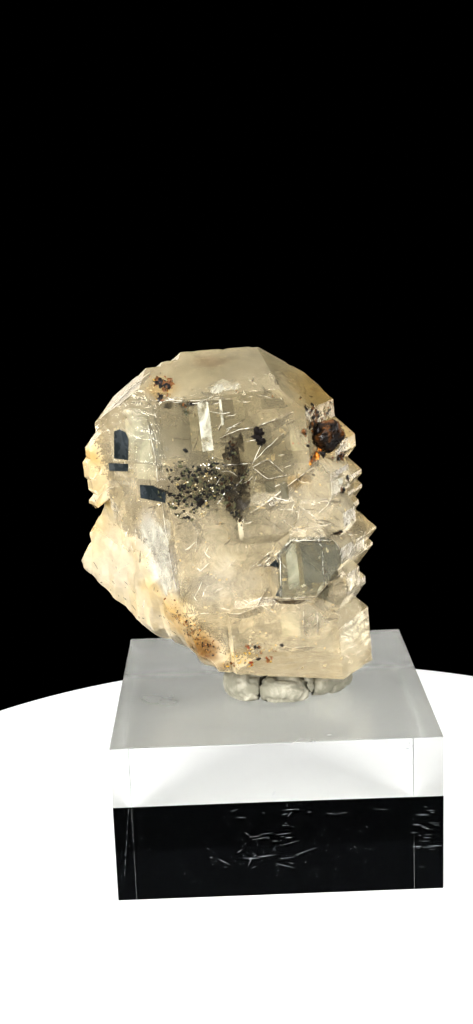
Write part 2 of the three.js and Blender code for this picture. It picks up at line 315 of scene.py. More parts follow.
def ball_grid(rings, spokes):
    """A unit ball on a grid of latitude and longitude, closed by one point at each pole, as vertices and
    faces. The point at latitude a and longitude b is (cos a cos b, cos a sin b, sin a)."""
    latitude = np.linspace(-math.pi / 2, math.pi / 2, rings + 2)[1:-1]
    longitude = np.arange(spokes) * 2 * math.pi / spokes
    a, b = np.meshgrid(latitude, longitude, indexing="ij")
    middle = np.stack([np.cos(a) * np.cos(b), np.cos(a) * np.sin(b), np.sin(a)], -1).reshape(-1, 3)
    vertices = np.concatenate([[(0, 0, -1.0)], middle, [(0, 0, 1.0)]])
    r, s = np.meshgrid(np.arange(rings - 1), np.arange(spokes), indexing="ij")
    near, far = 1 + r * spokes + s, 1 + r * spokes + (s + 1) % spokes
    sides = halved(np.stack([near, far, far + spokes, near + spokes], -1).reshape(-1, 4))
    s = np.arange(spokes)
    last = 1 + (rings - 1) * spokes
    low = np.stack([np.zeros(spokes, int), 1 + (s + 1) % spokes, 1 + s], 1)
    high = np.stack([np.full(spokes, len(vertices) - 1), last + s, last + (s + 1) % spokes], 1)
    return vertices, np.concatenate([sides, low, high])


def chips(centres, normals, sizes, flatness, seed):
    """Many small angular grains as one shape: unit balls on a coarse grid, each corner moved in and out by
    chance, flattened along the skin's normal, turned by chance about it and set at its centre."""
    rng = np.random.default_rng(seed)
    ball, faces = ball_grid(*CHIP_GRID)
    count = len(centres)
    up = unit(np.asarray(normals))
    helper = np.where(np.abs(up[:, 2:]) < 0.9, [[0.0, 0.0, 1.0]], [[1.0, 0.0, 0.0]])
    side = unit(np.cross(helper, up))
    angle = rng.uniform(0, 2 * math.pi, (count, 1))
    u = side * np.cos(angle) + np.cross(up, side) * np.sin(angle)
    v = np.cross(up, u)
    stretch = rng.uniform(*CHIP_STRETCH, (count, 1, 1))
    rough = rng.uniform(*CHIP_ROUGH, (count, len(ball), 1))
    local = ball[None] * rough * np.asarray(sizes).reshape(-1, 1, 1)
    points = (
        np.asarray(centres)[:, None]
        + local[..., 0:1] * u[:, None] * stretch
        + local[..., 1:2] * v[:, None]
        + local[..., 2:3] * up[:, None] * flatness
    )
    offset = np.arange(count) * len(ball)
    return points.reshape(-1, 3), (faces[None] + offset[:, None, None]).reshape(-1, 3)


def plate(outline, lift, thickness=0.2, inset=0.0):
    """A thin plate that lies on the quartz's front: its outline's points, given as x and z, are dropped
    onto the skin, lifted by lift, and joined by a wall to the same outline set thickness inside. inset is
    the share by which that inner outline is smaller."""
    outline = np.asarray(outline, float)
    top, normals = on_front(outline[:, 0], outline[:, 1])
    out = unit(np.nanmean(normals, 0))
    top = top + out * lift
    middle = top.mean(0)
    bottom = middle + (top - middle) * (1.0 - inset) - out * thickness
    count = len(outline)
    index = np.arange(count)
    after = (index + 1) % count
    walls = halved(np.stack([index, index + count, after + count, after], 1))
    vertices = np.concatenate([top, bottom, [top.mean(0)], [bottom.mean(0)]])
    fan_top = np.stack([index, after, np.full(count, 2 * count)], 1)
    fan_low = np.stack([after + count, index + count, np.full(count, 2 * count + 1)], 1)
    return vertices, np.concatenate([walls, fan_top, fan_low])


def sheet(centre, reach, tilt, bow, seed):
    """A thin closed sheet inside the quartz: a squashed ball, reach wide and high, bowed like a shell by the
    square of the distance from its middle, turned about its height by tilt degrees and rumpled by noise."""
    ball, faces = ball_grid(*SHEET_GRID)
    shape = ball * (reach[0], HALF_SHEET, reach[1])
    edge = np.linalg.norm(ball[:, [0, 2]], axis=1)
    shape[:, 1] += bow * edge**2 + SHEET_RUMPLE * layered_noise(ball * 3.0, 1.0, seed)
    c, s = math.cos(math.radians(tilt)), math.sin(math.radians(tilt))
    turned = shape @ np.array([[c, s, 0.0], [-s, c, 0.0], [0.0, 0.0, 1.0]])
    return tucked(turned + centre, SHEET_DEPTH), faces


def tucked(vertices, depth):
    """Points moved back along +Y until they lie depth or more behind the front of the quartz."""
    front = on_front(vertices[:, 0], vertices[:, 2])[0][:, 1]
    moved = vertices.copy()
    moved[:, 1] = np.fmax(vertices[:, 1], np.where(np.isnan(front), NO_FRONT, front + depth))
    return moved


def resample(path, spacing):
    """Points at equal steps along a path, by linear shares of its length."""
    path = np.asarray(path, float)
    run = np.concatenate([[0], np.cumsum(np.linalg.norm(np.diff(path, axis=0), axis=1))])
    count = max(3, int(run[-1] / spacing))
    at = np.linspace(0, run[-1], count)
    return np.stack([np.interp(at, run, path[:, i]) for i in range(path.shape[1])], 1)


def rounded_path(path, spacing):
    """A path's corners eased by one pass of averaging each point with its two neighbours."""
    points = resample(path, spacing)
    points[1:-1] = (points[:-2] + 2 * points[1:-1] + points[2:]) / 4
    return points


def crack(path, depth, slant, width, seed):
    """A healed crack: a wedge-shaped section, wide at the skin and nothing at its foot, carried along a path
    of x and z on the front, and leaning by slant, in millimetres of x and z for its depth."""
    flat = rounded_path(path, CRACK_STEP)
    place = np.c_[flat, flat[:, :1]]
    shake = np.stack([value_noise(place, 0.7, seed), value_noise(place, 0.7, seed + 1)], 1)
    flat = flat + CRACK_SHAKE * shake
    edge, normals = on_front(flat[:, 0], flat[:, 1])
    good = ~np.isnan(edge[:, 0])
    edge, normals = edge[good], unit(normals[good])
    tangent = unit(np.gradient(edge, axis=0))
    across = unit(np.cross(normals, tangent))
    share = np.linspace(0, 1, len(edge))[:, None]
    taper = np.sin(math.pi * np.clip(share, 0.02, 0.98)) ** 0.5
    wander = 1 + 0.4 * value_noise(edge, 1.1, seed + 2)[:, None]
    lean = np.array([slant[0], 0.0, slant[1]])
    foot = edge - normals * depth * taper * wander + lean * taper
    half = across * width * CRACK_WIDTH_SHARE * taper * wander
    left, right = edge + half + normals * CRACK_LIFT, edge - half + normals * CRACK_LIFT
    count = len(edge)
    vertices = np.concatenate([left, right, foot])
    i = np.arange(count - 1)
    top = np.stack([i, i + count, i + 1 + count, i + 1], 1)
    wall_1 = np.stack([i + count, i + 2 * count, i + 1 + 2 * count, i + 1 + count], 1)
    wall_2 = np.stack([i + 2 * count, i, i + 1, i + 1 + 2 * count], 1)
    ends = [[0, 2 * count, count], [count - 1, 2 * count - 1, 3 * count - 1]]
    return vertices, np.concatenate([halved(top), halved(wall_1), halved(wall_2), ends])


# Materials

# The sockets of a colour Mix node: its factor, its two colours and its result
MIX_INPUTS = (0, 6, 7)
MIX_RESULT = 2


def new_material(name):
    """A node material, its node tree and its Principled shader."""
    material = bpy.data.materials.new(name)
    material.use_nodes = True
    tree = material.node_tree
    return material, tree, tree.nodes["Principled BSDF"]


def set_inputs(shader, **values):
    """Sets the shader's plain inputs. Their names are written with _ for a space."""
    for name, value in values.items():
        shader.inputs[name.replace("_", " ")].default_value = value


def add_node(tree, kind, **settings):
    """A node with its settings, given by attribute name, or by input name where it has such an input."""
    node = tree.nodes.new(kind)
    for key, value in settings.items():
        label = key.replace("_", " ")
        socket = next((s for s in node.inputs if s.name.lower() == label.lower() and s.enabled), None)
        if hasattr(node, key):
            setattr(node, key, value)
        elif socket is not None:
            socket.default_value = value
    return node


def object_noise(tree, scale, detail=4.0, roughness=0.55, distortion=0.0, stretch=(1, 1, 1)):
    """Noise on the piece's own coordinates, in 1/metre, stretched along its axes. Returns its Factor."""
    place = add_node(tree, "ShaderNodeTexCoord")
    mapping = add_node(tree, "ShaderNodeMapping")
    mapping.inputs["Scale"].default_value = stretch
    noise = add_node(
        tree, "ShaderNodeTexNoise", scale=scale, detail=detail, roughness=roughness, distortion=distortion
    )
    tree.links.new(place.outputs["Object"], mapping.inputs["Vector"])
    tree.links.new(mapping.outputs["Vector"], noise.inputs["Vector"])
    return noise.outputs["Fac"]


def ranged(tree, value, source, target):
    """A value mapped from one range to another, smoothly and clamped."""
    node = add_node(tree, "ShaderNodeMapRange", interpolation_type="SMOOTHSTEP")
    for name, number in zip(("From Min", "From Max", "To Min", "To Max"), (*source, *target)):
        node.inputs[name].default_value = number
    tree.links.new(value, node.inputs["Value"])
    return node.outputs["Result"]


def mixed(tree, factor, first, second, blend="MIX"):
    """Two colours mixed by a factor. Each is a socket or a plain colour."""
    node = add_node(tree, "ShaderNodeMix", data_type="RGBA", blend_type=blend)
    for index, value in zip(MIX_INPUTS, (factor, first, second)):
        socket = node.inputs[index]
        if isinstance(value, bpy.types.NodeSocket):
            tree.links.new(value, socket)
        else:
            socket.default_value = value if isinstance(value, float) else (*value, 1.0)
    return node.outputs[MIX_RESULT]


def grey(tree, value):
    """A value as a grey colour."""
    node = add_node(tree, "ShaderNodeCombineColor")
    for socket in node.inputs:
        tree.links.new(value, socket)
    return node.outputs["Color"]


def bumped(tree, shader, *heights):
    """Adds the heights, pairs of a socket and a depth in metres, one upon another, to the shader's normal."""
    normal = None
    for height, distance in heights:
        bump = add_node(tree, "ShaderNodeBump", distance=distance, strength=1.0)
        tree.links.new(height, bump.inputs["Height"])
        if normal is not None:
            tree.links.new(normal, bump.inputs["Normal"])
        normal = bump.outputs["Normal"]
    tree.links.new(normal, shader.inputs["Normal"])


def quartz_material(name, clear_share, paleness, settings):
    """Quartz: clear with a milky share, tinted by the painted stains, painted shade and painted light, made
    paler by paleness, and mottled.
    """
    material, tree, shader = new_material(name)
    set_inputs(shader, IOR=1.544, Transmission_Weight=clear_share)
    # The painted colour holds the stains, painted shade on the clearer top and core, and painted light on the
    # backward faces
    paint = add_node(tree, "ShaderNodeAttribute", attribute_name="stain")
    clouds = ranged(tree, object_noise(tree, 260.0, 7.0, 0.62, 0.8), (0.35, 0.68), (0.0, 1.0))
    grain = ranged(tree, object_noise(tree, 1900.0, 5.0, 0.7), (0.3, 0.75), (0.95, 1.03))
    clouded = mixed(tree, clouds, CLOUD_SHADE, CLOUD_LIGHT)
    thinned = mixed(tree, paleness, paint.outputs["Color"], THIN_TINT)
    tinted = mixed(tree, 1.0, thinned, clouded, "MULTIPLY")
    specks = mixed(tree, 1.0, tinted, grey(tree, grain), "MULTIPLY")
    tree.links.new(specks, shader.inputs["Base Color"])
    frost = add_node(tree, "ShaderNodeAttribute", attribute_name="frost")
    worn = object_noise(tree, 900.0, 4.0, 0.6)
    rough = add_node(tree, "ShaderNodeMath", operation="MULTIPLY_ADD")
    tree.links.new(worn, rough.inputs[0])
    rough.inputs[1].default_value = 0.18
    tree.links.new(frost.outputs["Fac"], rough.inputs[2])
    tree.links.new(rough.outputs[0], shader.inputs["Roughness"])
    steps = object_noise(tree, 300.0, 5.0, 0.6, 0.5, (1.0, 1.0, 1.7))
    pits = object_noise(tree, 2600.0, 3.0, 0.5)
    bumped(tree, shader, (steps, 0.00012), (pits, 0.00001))
    absorb = add_node(tree, "ShaderNodeVolumeAbsorption", density=settings.absorption)
    absorb.inputs["Color"].default_value = (*settings.body_tint, 1.0)
    tree.links.new(absorb.outputs["Volume"], tree.nodes["Material Output"].inputs["Volume"])
    return material


def mottled_material(name, dark, light, scale, roughness, gloss=0.5, bump=0.00003):
    """An opaque mineral, putty or painted dark reflection: two colours mixed by noise, rough with finer
    noise.
    """
    material, tree, shader = new_material(name)
    share = ranged(tree, object_noise(tree, scale, 5.0, 0.6, 0.4), (0.42, 0.68), (0.0, 1.0))
    tree.links.new(mixed(tree, share, dark, light), shader.inputs["Base Color"])
    wear = ranged(tree, object_noise(tree, scale * 2.3, 3.0), (0.3, 0.7), roughness)
    tree.links.new(wear, shader.inputs["Roughness"])
    set_inputs(shader, Specular_IOR_Level=gloss)
    bumped(tree, shader, (object_noise(tree, scale * 3.0, 4.0, 0.6), bump))
    return material


def grain_material(name, roughness, gloss):
    """Mineral grains and painted glints: the tint stored on each grain, broken up by fine noise."""
    material, tree, shader = new_material(name)
    tint = add_node(tree, "ShaderNodeAttribute", attribute_name="tint")
    share = ranged(tree, object_noise(tree, 3200.0, 4.0, 0.65), (0.3, 0.7), (0.55, 1.3))
    shaded = mixed(tree, 1.0, tint.outputs["Color"], grey(tree, share), "MULTIPLY")
    tree.links.new(shaded, shader.inputs["Base Color"])
    set_inputs(shader, Roughness=roughness, Specular_IOR_Level=gloss)
    bumped(tree, shader, (object_noise(tree, 4200.0, 3.0), 0.00002))
    return material


def clear_material(name, tint, ior, roughness, scratch):
    """Clear acrylic with a plain tint. Its roughness goes through a range with noise."""
    material, tree, shader = new_material(name)
    set_inputs(shader, Base_Color=(*tint, 1.0), IOR=ior, Transmission_Weight=1.0)
    set_inputs(shader, Specular_Tint=(*ACRYLIC_SHEEN, 1.0))
    wear = ranged(tree, object_noise(tree, scratch, 4.0, 0.6), (0.42, 0.75), roughness)
    tree.links.new(wear, shader.inputs["Roughness"])
    return material


def veil_material(name, colour, scale, band, most, roughness=0.5, stretch=(1, 1, 1)):
    """A wispy veil: a plain colour whose alpha comes and goes with noise, stretched along its axes. It starts
    at the low end of the band of the noise and is at its most at the high end."""
    material, tree, shader = new_material(name)
    set_inputs(shader, Base_Color=(*colour, 1.0), Roughness=roughness)
    fade = ranged(tree, object_noise(tree, scale, 5.0, 0.6, 0.8, stretch), band, (0.0, most))
    tree.links.new(fade, shader.inputs["Alpha"])
    return material


# The quartz

# How often a mesh's edges may be halved, the distance in metres at which corners are merged, the angle at
# which faces count as one, and the angle from which an edge counts as sharp
MOST_CUTS = 12
SAME_POINT = 2e-6
SAME_PLANE = math.radians(0.5)
SHARP_EDGE = math.radians(14)


def cut_fine(points, triangles, longest):
    """Halves each edge longer than longest at its middle, again and again until none is left. A triangle with
    one, two or three halved edges becomes two, three or four triangles."""
    for _ in range(MOST_CUTS):
        edges = np.sort(triangles[:, [[0, 1], [1, 2], [2, 0]]], axis=-1).reshape(-1, 2)
        unique, inverse = np.unique(edges, axis=0, return_inverse=True)
        long = np.linalg.norm(points[unique[:, 0]] - points[unique[:, 1]], axis=1) > longest
        if not long.any():
            return points, triangles
        middle = np.full(len(unique), -1)
        middle[long] = len(points) + np.arange(long.sum())
        points = np.concatenate([points, points[unique[long]].mean(1)])
        halves = middle[inverse.ravel()].reshape(-1, 3)
        count = (halves >= 0).sum(1)
        first = np.where(count == 1, (halves >= 0).argmax(1), ((halves < 0).argmax(1) + 1) % 3)
        first = np.where((count == 1) | (count == 2), first, 0)
        turn = (first[:, None] + np.arange(3)) % 3
        a, b, c = np.take_along_axis(triangles, turn, 1).T
        ab, bc, ca = np.take_along_axis(halves, turn, 1).T
        one, two, three = count == 1, count == 2, count == 3
        parts = [
            triangles[count == 0],
            np.stack([a, ab, c], 1)[one],
            np.stack([ab, b, c], 1)[one],
            np.stack([ab, b, bc], 1)[two],
            np.stack([a, ab, bc], 1)[two],
            np.stack([a, bc, c], 1)[two],
            np.stack([a, ab, ca], 1)[three],
            np.stack([ab, b, bc], 1)[three],
            np.stack([ca, bc, c], 1)[three],
            np.stack([ab, bc, ca], 1)[three],
        ]
        triangles = np.concatenate(parts)
    return points, triangles


def merged_copy(node, longest):
    """A CAD node's mesh with its corners merged, its flat faces joined and its edges cut fine."""
    bm = bmesh.new()
    bm.from_mesh(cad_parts[node].data)
    bmesh.ops.remove_doubles(bm, verts=bm.verts, dist=SAME_POINT)
    bmesh.ops.dissolve_limit(bm, angle_limit=SAME_PLANE, verts=bm.verts, edges=bm.edges)
    bmesh.ops.triangulate(bm, faces=bm.faces)
    rough = bpy.data.meshes.new(node + "_coarse")
    bm.to_mesh(rough)
    bm.free()
    corners = read_array(rough.loops, "vertex_index", 1, np.int32).reshape(-1, 3)
    points, triangles = cut_fine(read_array(rough.vertices, "co", 3), corners, longest)
    bpy.data.meshes.remove(rough)
    mesh = bpy.data.meshes.new(node + "_fine")
    mesh.from_pydata(points.tolist(), [], triangles.tolist())
    mesh.update()
    return mesh


def mesh_arrays(mesh):
    """A mesh's points in millimetres, their normals, and a flag for points on a sharp edge."""
    edges = read_array(mesh.loops, "edge_index", 1, np.int32).ravel()
    faces = read_array(mesh.polygons, "normal", 3)
    face_of = np.repeat(np.arange(len(faces)), 3)
    pairs = face_of[np.argsort(edges, kind="stable")].reshape(-1, 2)
    bend = np.einsum("ij,ij->i", faces[pairs[:, 0]], faces[pairs[:, 1]])
    ends = read_array(mesh.edges, "vertices", 2, np.int32)
    on_edge = np.zeros(len(mesh.vertices), bool)
    on_edge[ends[bend < math.cos(SHARP_EDGE)].ravel()] = True
    points = read_array(mesh.vertices, "co", 3) / MM
    return points, read_array(mesh.vertex_normals, "vector", 3), on_edge


def move_points(mesh, points, normals, heights):
    """Moves a mesh's points, in millimetres, along their normals."""
    mesh.vertices.foreach_set("co", ((points + normals * heights[:, None]) * MM).ravel())


# The relief of the quartz, in millimetres: how far behind its plane the broken side starts and is whole, how
# squarely its faces look along the plane's normal, where the left edge turns lumpy, the ledges' spacing, and
# the middle of the shell-like ripples with their step in radians
BREAK_BAND = (-3.2, -1.6)
BREAK_FACING = (0.45, 0.75)
LUMPY_BAND = (-17.5, -19.5)
LEDGE_SPACING = 0.95
SHELL_MIDDLE = (-8, -9, 24)
SHELL_STEP = 3.1


def quartz_relief(points, normals, on_edge, settings):
    """How far each point moves along its normal, in millimetres, and its share of the break. Faces get low
    growth hillocks and ledges across the long axis, edges get small chips, and the break gets ripples."""
    beyond = (points - BREAK_POINT) @ BREAK_NORMAL
    facing = normals @ BREAK_NORMAL
    broken = smooth_step(*BREAK_BAND, beyond) * smooth_step(*BREAK_FACING, facing)
    lumpy = 1 + 6 * smooth_step(*LUMPY_BAND, points[:, 0])
    hillocks = settings.hillocks * lumpy * layered_noise(points, 2.0, 11)
    upright = smooth_step(0.35, 0.15, np.abs(normals @ AXIS))
    height = points @ AXIS + 0.7 * value_noise(points, 4.0, 21)
    ledges = 0.35 * settings.hillocks * upright * np.sin(2 * math.pi * height / LEDGE_SPACING)
    shells = np.sin(SHELL_STEP * np.linalg.norm(points - SHELL_MIDDLE, axis=1))
    ripples = settings.fracture * (layered_noise(points, 1.9, 31, 4) + 0.35 * shells)
    notches = smooth_step(0.12, 0.6, layered_noise(points, 1.1, 41)) * settings.edge_chips
    calm = (hillocks + ledges) * ~on_edge
    return np.where(on_edge, -notches, calm) * (1 - broken) + ripples * broken, broken


# Patches of colour on the quartz: stains, and painted shade that darkens its clearer top and core (the first
# two patches and the top shade). Name, middle and reach in millimetres, colour, and strength
STAINS_AND_SHADE = (
    # Painted shade: the clearer top and core painted darker
    ("painted_shade_top", (-3.0, -2.0, 57.0), (18.0, 16.0, 15.0), TEA_SHADE, 0.85),
    ("painted_shade_core", (-2.5, -8.0, 46.0), (7.0, 6.0, 11.0), TEA_SHADE, 0.75),
    ("tea_shoulder", (8.6, -4.0, 57.0), (8.0, 10.0, 7.0), DARK_HONEY, 0.9),
    ("grey_clear_upper_left", (-14.2, -8.0, 52.4), (4.6, 4.0, 6.5), LIGHT_GREY, 0.85),
    ("grey_clear_middle", (-7.0, -9.0, 53.0), (6.0, 2.0, 5.0), TEA_GREY, 0.7),
    ("grey_clear_right", (1.0, -9.0, 50.0), (4.0, 2.0, 5.0), TEA_SHADE, 0.6),
    ("top_shade", (-4.0, -6.0, 60.5), (10.0, 4.0, 2.2), SMOKE, 0.22),
    ("haze_top", (-5.8, -6.0, 61.3), (3.4, 3.0, 1.0), BROWN_HAZE, 0.6),
    ("honey_right_edge", (10.5, -3.0, 51.0), (3.0, 4.0, 4.0), HONEY, 0.55),
    ("amber_left_edge", (-20.6, -3.6, 48.0), (3.2, 5.0, 6.5), AMBER, 0.38),
    ("ochre_left_edge_top", (-20.6, -3.6, 50.2), (1.8, 3.0, 1.6), OCHRE, 0.60),
    ("ochre_left_edge_low", (-20.2, -4.8, 44.2), (2.2, 3.0, 1.8), OCHRE, 0.55),
    ("amber_wing", (-21.0, -1.0, 39.0), (3.6, 4.0, 4.6), AMBER, 0.7),
    ("ochre_wing", (-21.8, 0.0, 39.8), (2.0, 3.0, 2.0), OCHRE, 0.55),
    ("cream_left_low", (-19.0, -2.0, 36.0), (7.0, 7.0, 8.0), WARM_CREAM, 0.8),
    ("cream_break_edge", (-14.6, -2.5, 29.5), (6.0, 6.0, 5.0), DEEP_CREAM, 0.8),
    ("amber_right_side", (11.0, -2.0, 44.0), (3.6, 7.0, 14.0), HONEY, 0.5),
    ("honey_break", (-12.5, -6.8, 31.6), (6.0, 5.0, 5.0), HONEY, 0.5),
    ("brown_break_foot", (-8.6, -7.8, 27.2), (4.4, 3.6, 2.8), BROWN, 0.78),
    ("ochre_break_foot", (-9.6, -7.2, 28.6), (5.4, 4.0, 3.4), OCHRE, 0.55),
    ("brown_streak", (-11.6, -7.4, 31.0), (3.6, 3.0, 3.0), OCHRE, 0.6),
    ("brown_streak_top", (-14.0, -6.0, 33.8), (2.6, 3.0, 2.4), AMBER, 0.45),
    ("ochre_iron_left", (-11.9, -7.9, 58.5), (2.6, 2.2, 1.6), OCHRE, 0.55),
    ("smoky_core", (-3.4, -9.0, 47.6), (2.2, 2.4, 5.4), SMOKE, 0.8),
    ("smoky_moss", (-7.6, -9.0, 47.3), (5.4, 2.2, 3.9), SMOKE, 0.75),
    ("milk_left", (-13.6, -7.4, 41.0), (3.6, 3.0, 3.8), MILK, 0.8),
    ("milk_left_low", (-12.4, -8.0, 36.6), (2.6, 3.0, 4.4), MILK, 0.8),
    ("milk_middle", (-5.0, -9.0, 35.0), (5.0, 3.0, 4.0), MILK, 0.35),
    ("milk_plates", (2.0, -9.5, 43.6), (5.0, 3.0, 3.0), PALE, 0.5),
    ("window_grey", (4.9, -10.8, 37.3), (4.6, 0.9, 4.3), CLEAR_GREY, 0.8),
    ("honey_foot", (3.0, -9.0, 26.5), (12.0, 6.0, 3.0), CREAM, 0.4),
    ("ochre_foot", (-3.4, -9.4, 26.0), (2.4, 2.0, 1.3), HONEY, 0.5),
    ("ochre_foot_left", (-5.6, -8.8, 25.0), (2.0, 2.0, 0.9), BROWN, 0.6),
    ("brown_corner", (-8.0, -9.0, 26.8), (2.2, 2.0, 1.7), DARK_BROWN, 0.7),
    ("ochre_iron_right", (6.6, -7.0, 50.6), (2.2, 2.2, 2.2), OCHRE, 0.5),
    ("ochre_seam", (3.6, -9.2, 47.2), (2.2, 1.2, 0.9), OCHRE, 0.45),
    ("ochre_back", (-6.0, 7.0, 42.0), (5.0, 3.0, 6.0), HONEY, 0.4),
    ("milk_back", (4.0, 6.0, 34.0), (6.0, 4.0, 6.0), MILK, 0.4),
)
# How far noise nudges a point, in millimetres, and how much of the back's paler colour, a painted light, its
# faces take
STAIN_NUDGE = 1.1
BACK_SHARE = 0.8


def paint_stains_and_light(points, normals):
    """A colour for each point: cream and pale quartz mixed by soft noise, then each patch, of stains or of
    painted shade, mixed in by how far the point, nudged by noise, lies inside its ellipsoid. Faces that look
    backwards are painted paler, as painted light."""
    share = smooth_step(-0.45, 0.45, layered_noise(points, 7.0, 51))[:, None]
    colour = np.asarray(CREAM) * (1 - share) + np.asarray(PALE) * share
    nudge = np.stack([layered_noise(points, 1.7, 61 + 10 * i) for i in range(3)], 1)
    for _, middle, reach, tint, strength in STAINS_AND_SHADE:
        apart = np.linalg.norm((points + STAIN_NUDGE * nudge - middle) / reach, axis=1)
        weight = (strength * smooth_step(1.0, 0.25, apart))[:, None]
        colour = colour * (1 - weight) + np.asarray(tint) * weight
    # Painted light: faces that look backwards are painted paler
    behind = BACK_SHARE * smooth_step(0.1, 0.6, normals[:, 1:2])
    return colour * (1 - behind) + np.asarray(BACK_PALE) * behind


# Weathered parts of the quartz: middle, reach and strength, in millimetres. The rest is milky, but for the
# clear six-sided window, which lies between two corners. Its skin is smooth about a middle, within a reach.
WEATHERED_PARTS = (
    ((-20.5, -3.5, 44.0), (2.4, 5.0, 9.0), 1.0),
    ((-13.4, -5.6, 31.0), (6.2, 5.0, 4.2), 1.0),
    ((-8.8, -8.0, 27.0), (3.4, 3.0, 2.6), 1.0),
    ((-15.8, -4.5, 36.5), (5.0, 4.0, 4.5), 0.9),
    ((-6.0, -8.0, 25.6), (4.0, 4.0, 1.2), 0.6),
    ((-19.8, -2.0, 36.5), (4.4, 6.0, 5.0), 1.3),
    ((-16.4, -2.5, 31.5), (5.6, 6.0, 4.4), 1.3),
    ((11.5, -2.0, 53.5), (2.6, 5.0, 4.0), 0.8),
)
WINDOW_LOW, WINDOW_HIGH = (1.0, -11.2, 33.6), (8.8, -10.45, 40.9)
WINDOW_MIDDLE, WINDOW_REACH = (4.8, -10.9, 37.3), (4.4, 0.9, 3.9)
MILKY, CLEAR, WEATHERED = 0, 1, 2


def skin_kinds(mesh, points):
    """The kind of skin of each face. Chance decides near the borders of the weathered parts, so that the
    materials blend grain by grain. The six-sided window is clear to its edge."""
    corners = read_array(mesh.loops, "vertex_index", 1, np.int32).reshape(-1, 3)
    middles = points[corners].mean(1)
    chance = np.random.default_rng(7).uniform(0.3, 0.7, len(middles))
    share = np.zeros(len(middles))
    for middle, reach, strength in WEATHERED_PARTS:
        apart = np.linalg.norm((middles - middle) / np.asarray(reach), axis=1)
        share = np.maximum(share, strength * smooth_step(1.3, 0.55, apart))
    worn = share + 0.6 * layered_noise(middles, 2.6, 141, 4) > chance
    kinds = np.where(worn, WEATHERED, MILKY).astype(np.int32)
    kinds[np.all((middles > WINDOW_LOW) & (middles < WINDOW_HIGH), axis=1)] = CLEAR
    return kinds


def skin_frost(points, broken):
    """The least roughness of each point: more on the break and in cloudy patches, little on the window."""
    frost = 0.05 + 0.16 * broken + 0.12 * smooth_step(0.1, 0.5, layered_noise(points, 5.0, 71))
    apart = np.max(np.abs((points - WINDOW_MIDDLE) / WINDOW_REACH), axis=1)
    return frost * (1 - 0.8 * smooth_step(1.0, 0.85, apart))


class QuartzSettings(bpy.types.PropertyGroup):
    """Sizes and looks of the quartz."""

    clear_share: bpy.props.FloatProperty(
        name="Clear share", description="Share of light that passes the clear skin", default=0.84, max=1
    )
    milky_share: bpy.props.FloatProperty(
        name="Milky share", description="Share of light that passes the milky skin", default=0.71, max=1
    )
    weathered_share: bpy.props.FloatProperty(
        name="Weathered share", description="Share of light that passes the weathered skin",
        default=0.44, max=1,
    )
    body_tint: bpy.props.FloatVectorProperty(
        name="Body tint", description="Colour of light that has crossed the quartz", subtype="COLOR",
        default=(0.90, 0.87, 0.74),
    )
    absorption: bpy.props.FloatProperty(
        name="Absorption", description="Absorption density, per metre", default=16.0, min=0
    )
    longest_edge: bpy.props.FloatProperty(
        name="Longest edge", description="Longest edge of the fine mesh", default=0.00045, unit="LENGTH"
    )
    hillocks: bpy.props.FloatProperty(
        name="Hillocks", description="Height of the hillocks on the faces, in millimetres", default=0.03
    )
    fracture: bpy.props.FloatProperty(
        name="Fracture", description="Height of the ripples on the break, in millimetres", default=0.13
    )
    edge_chips: bpy.props.FloatProperty(
        name="Edge chips", description="Depth of the chips along the edges, in millimetres", default=0.14
    )


class IronSettings(bpy.types.PropertyGroup):
    """Sizes and looks of the iron oxide and the dark inclusions."""

    lump_relief: bpy.props.FloatProperty(
        name="Lump relief", description="Height of the lumps on the iron grain, in millimetres", default=0.38
    )
    moss_step: bpy.props.FloatProperty(
        name="Moss step", description="Distance between the grains of the mossy mass, in millimetres",
        default=0.23,
    )


class BlockSettings(bpy.types.PropertyGroup):
    """Looks of the acrylic block."""

    ior: bpy.props.FloatProperty(name="IOR", description="Refraction of the acrylic", default=1.49)
    polish: bpy.props.FloatProperty(name="Polish", description="Roughness of its sides", default=0.0)
    top_wear: bpy.props.FloatProperty(name="Top wear", description="Roughness of its worn top", default=0.22)
    arris: bpy.props.FloatProperty(
        name="Arris", description="Width of the small round on each edge", default=0.00005, unit="LENGTH"
    )


class StageSettings(bpy.types.PropertyGroup):
    """The floor and the lights."""

    floor_radius: bpy.props.FloatProperty(
        name="Floor radius", description="Radius of the pale floor", default=0.0682, unit="LENGTH"
    )
    floor_colour: bpy.props.FloatVectorProperty(
        name="Floor colour", description="Colour of the pale floor", subtype="COLOR",
        default=(0.93, 0.93, 0.92),
    )
    top_light: bpy.props.FloatProperty(
        name="Top light", description="Power of the softbox above", default=1.5, unit="POWER"
    )
    front_light: bpy.props.FloatProperty(
        name="Front light", description="Power of the softboxes in front", default=2.6, unit="POWER"
    )
    low_light: bpy.props.FloatProperty(
        name="Low light", description="Power of the side softboxes, just above the floor", default=0.75,
        unit="POWER",
    )
    back_light: bpy.props.FloatProperty(
        name="Back light", description="Power of the softboxes behind", default=0.5, unit="POWER"
    )


class SpecimenSettings(bpy.types.PropertyGroup):
    """All settings of the specimen."""

    quartz: bpy.props.PointerProperty(type=QuartzSettings, name="Quartz", description="Quartz settings")
    iron: bpy.props.PointerProperty(type=IronSettings, name="Iron", description="Iron and inclusion settings")
    block: bpy.props.PointerProperty(type=BlockSettings, name="Block", description="Block settings")
    stage: bpy.props.PointerProperty(type=StageSettings, name="Stage", description="Stage settings")


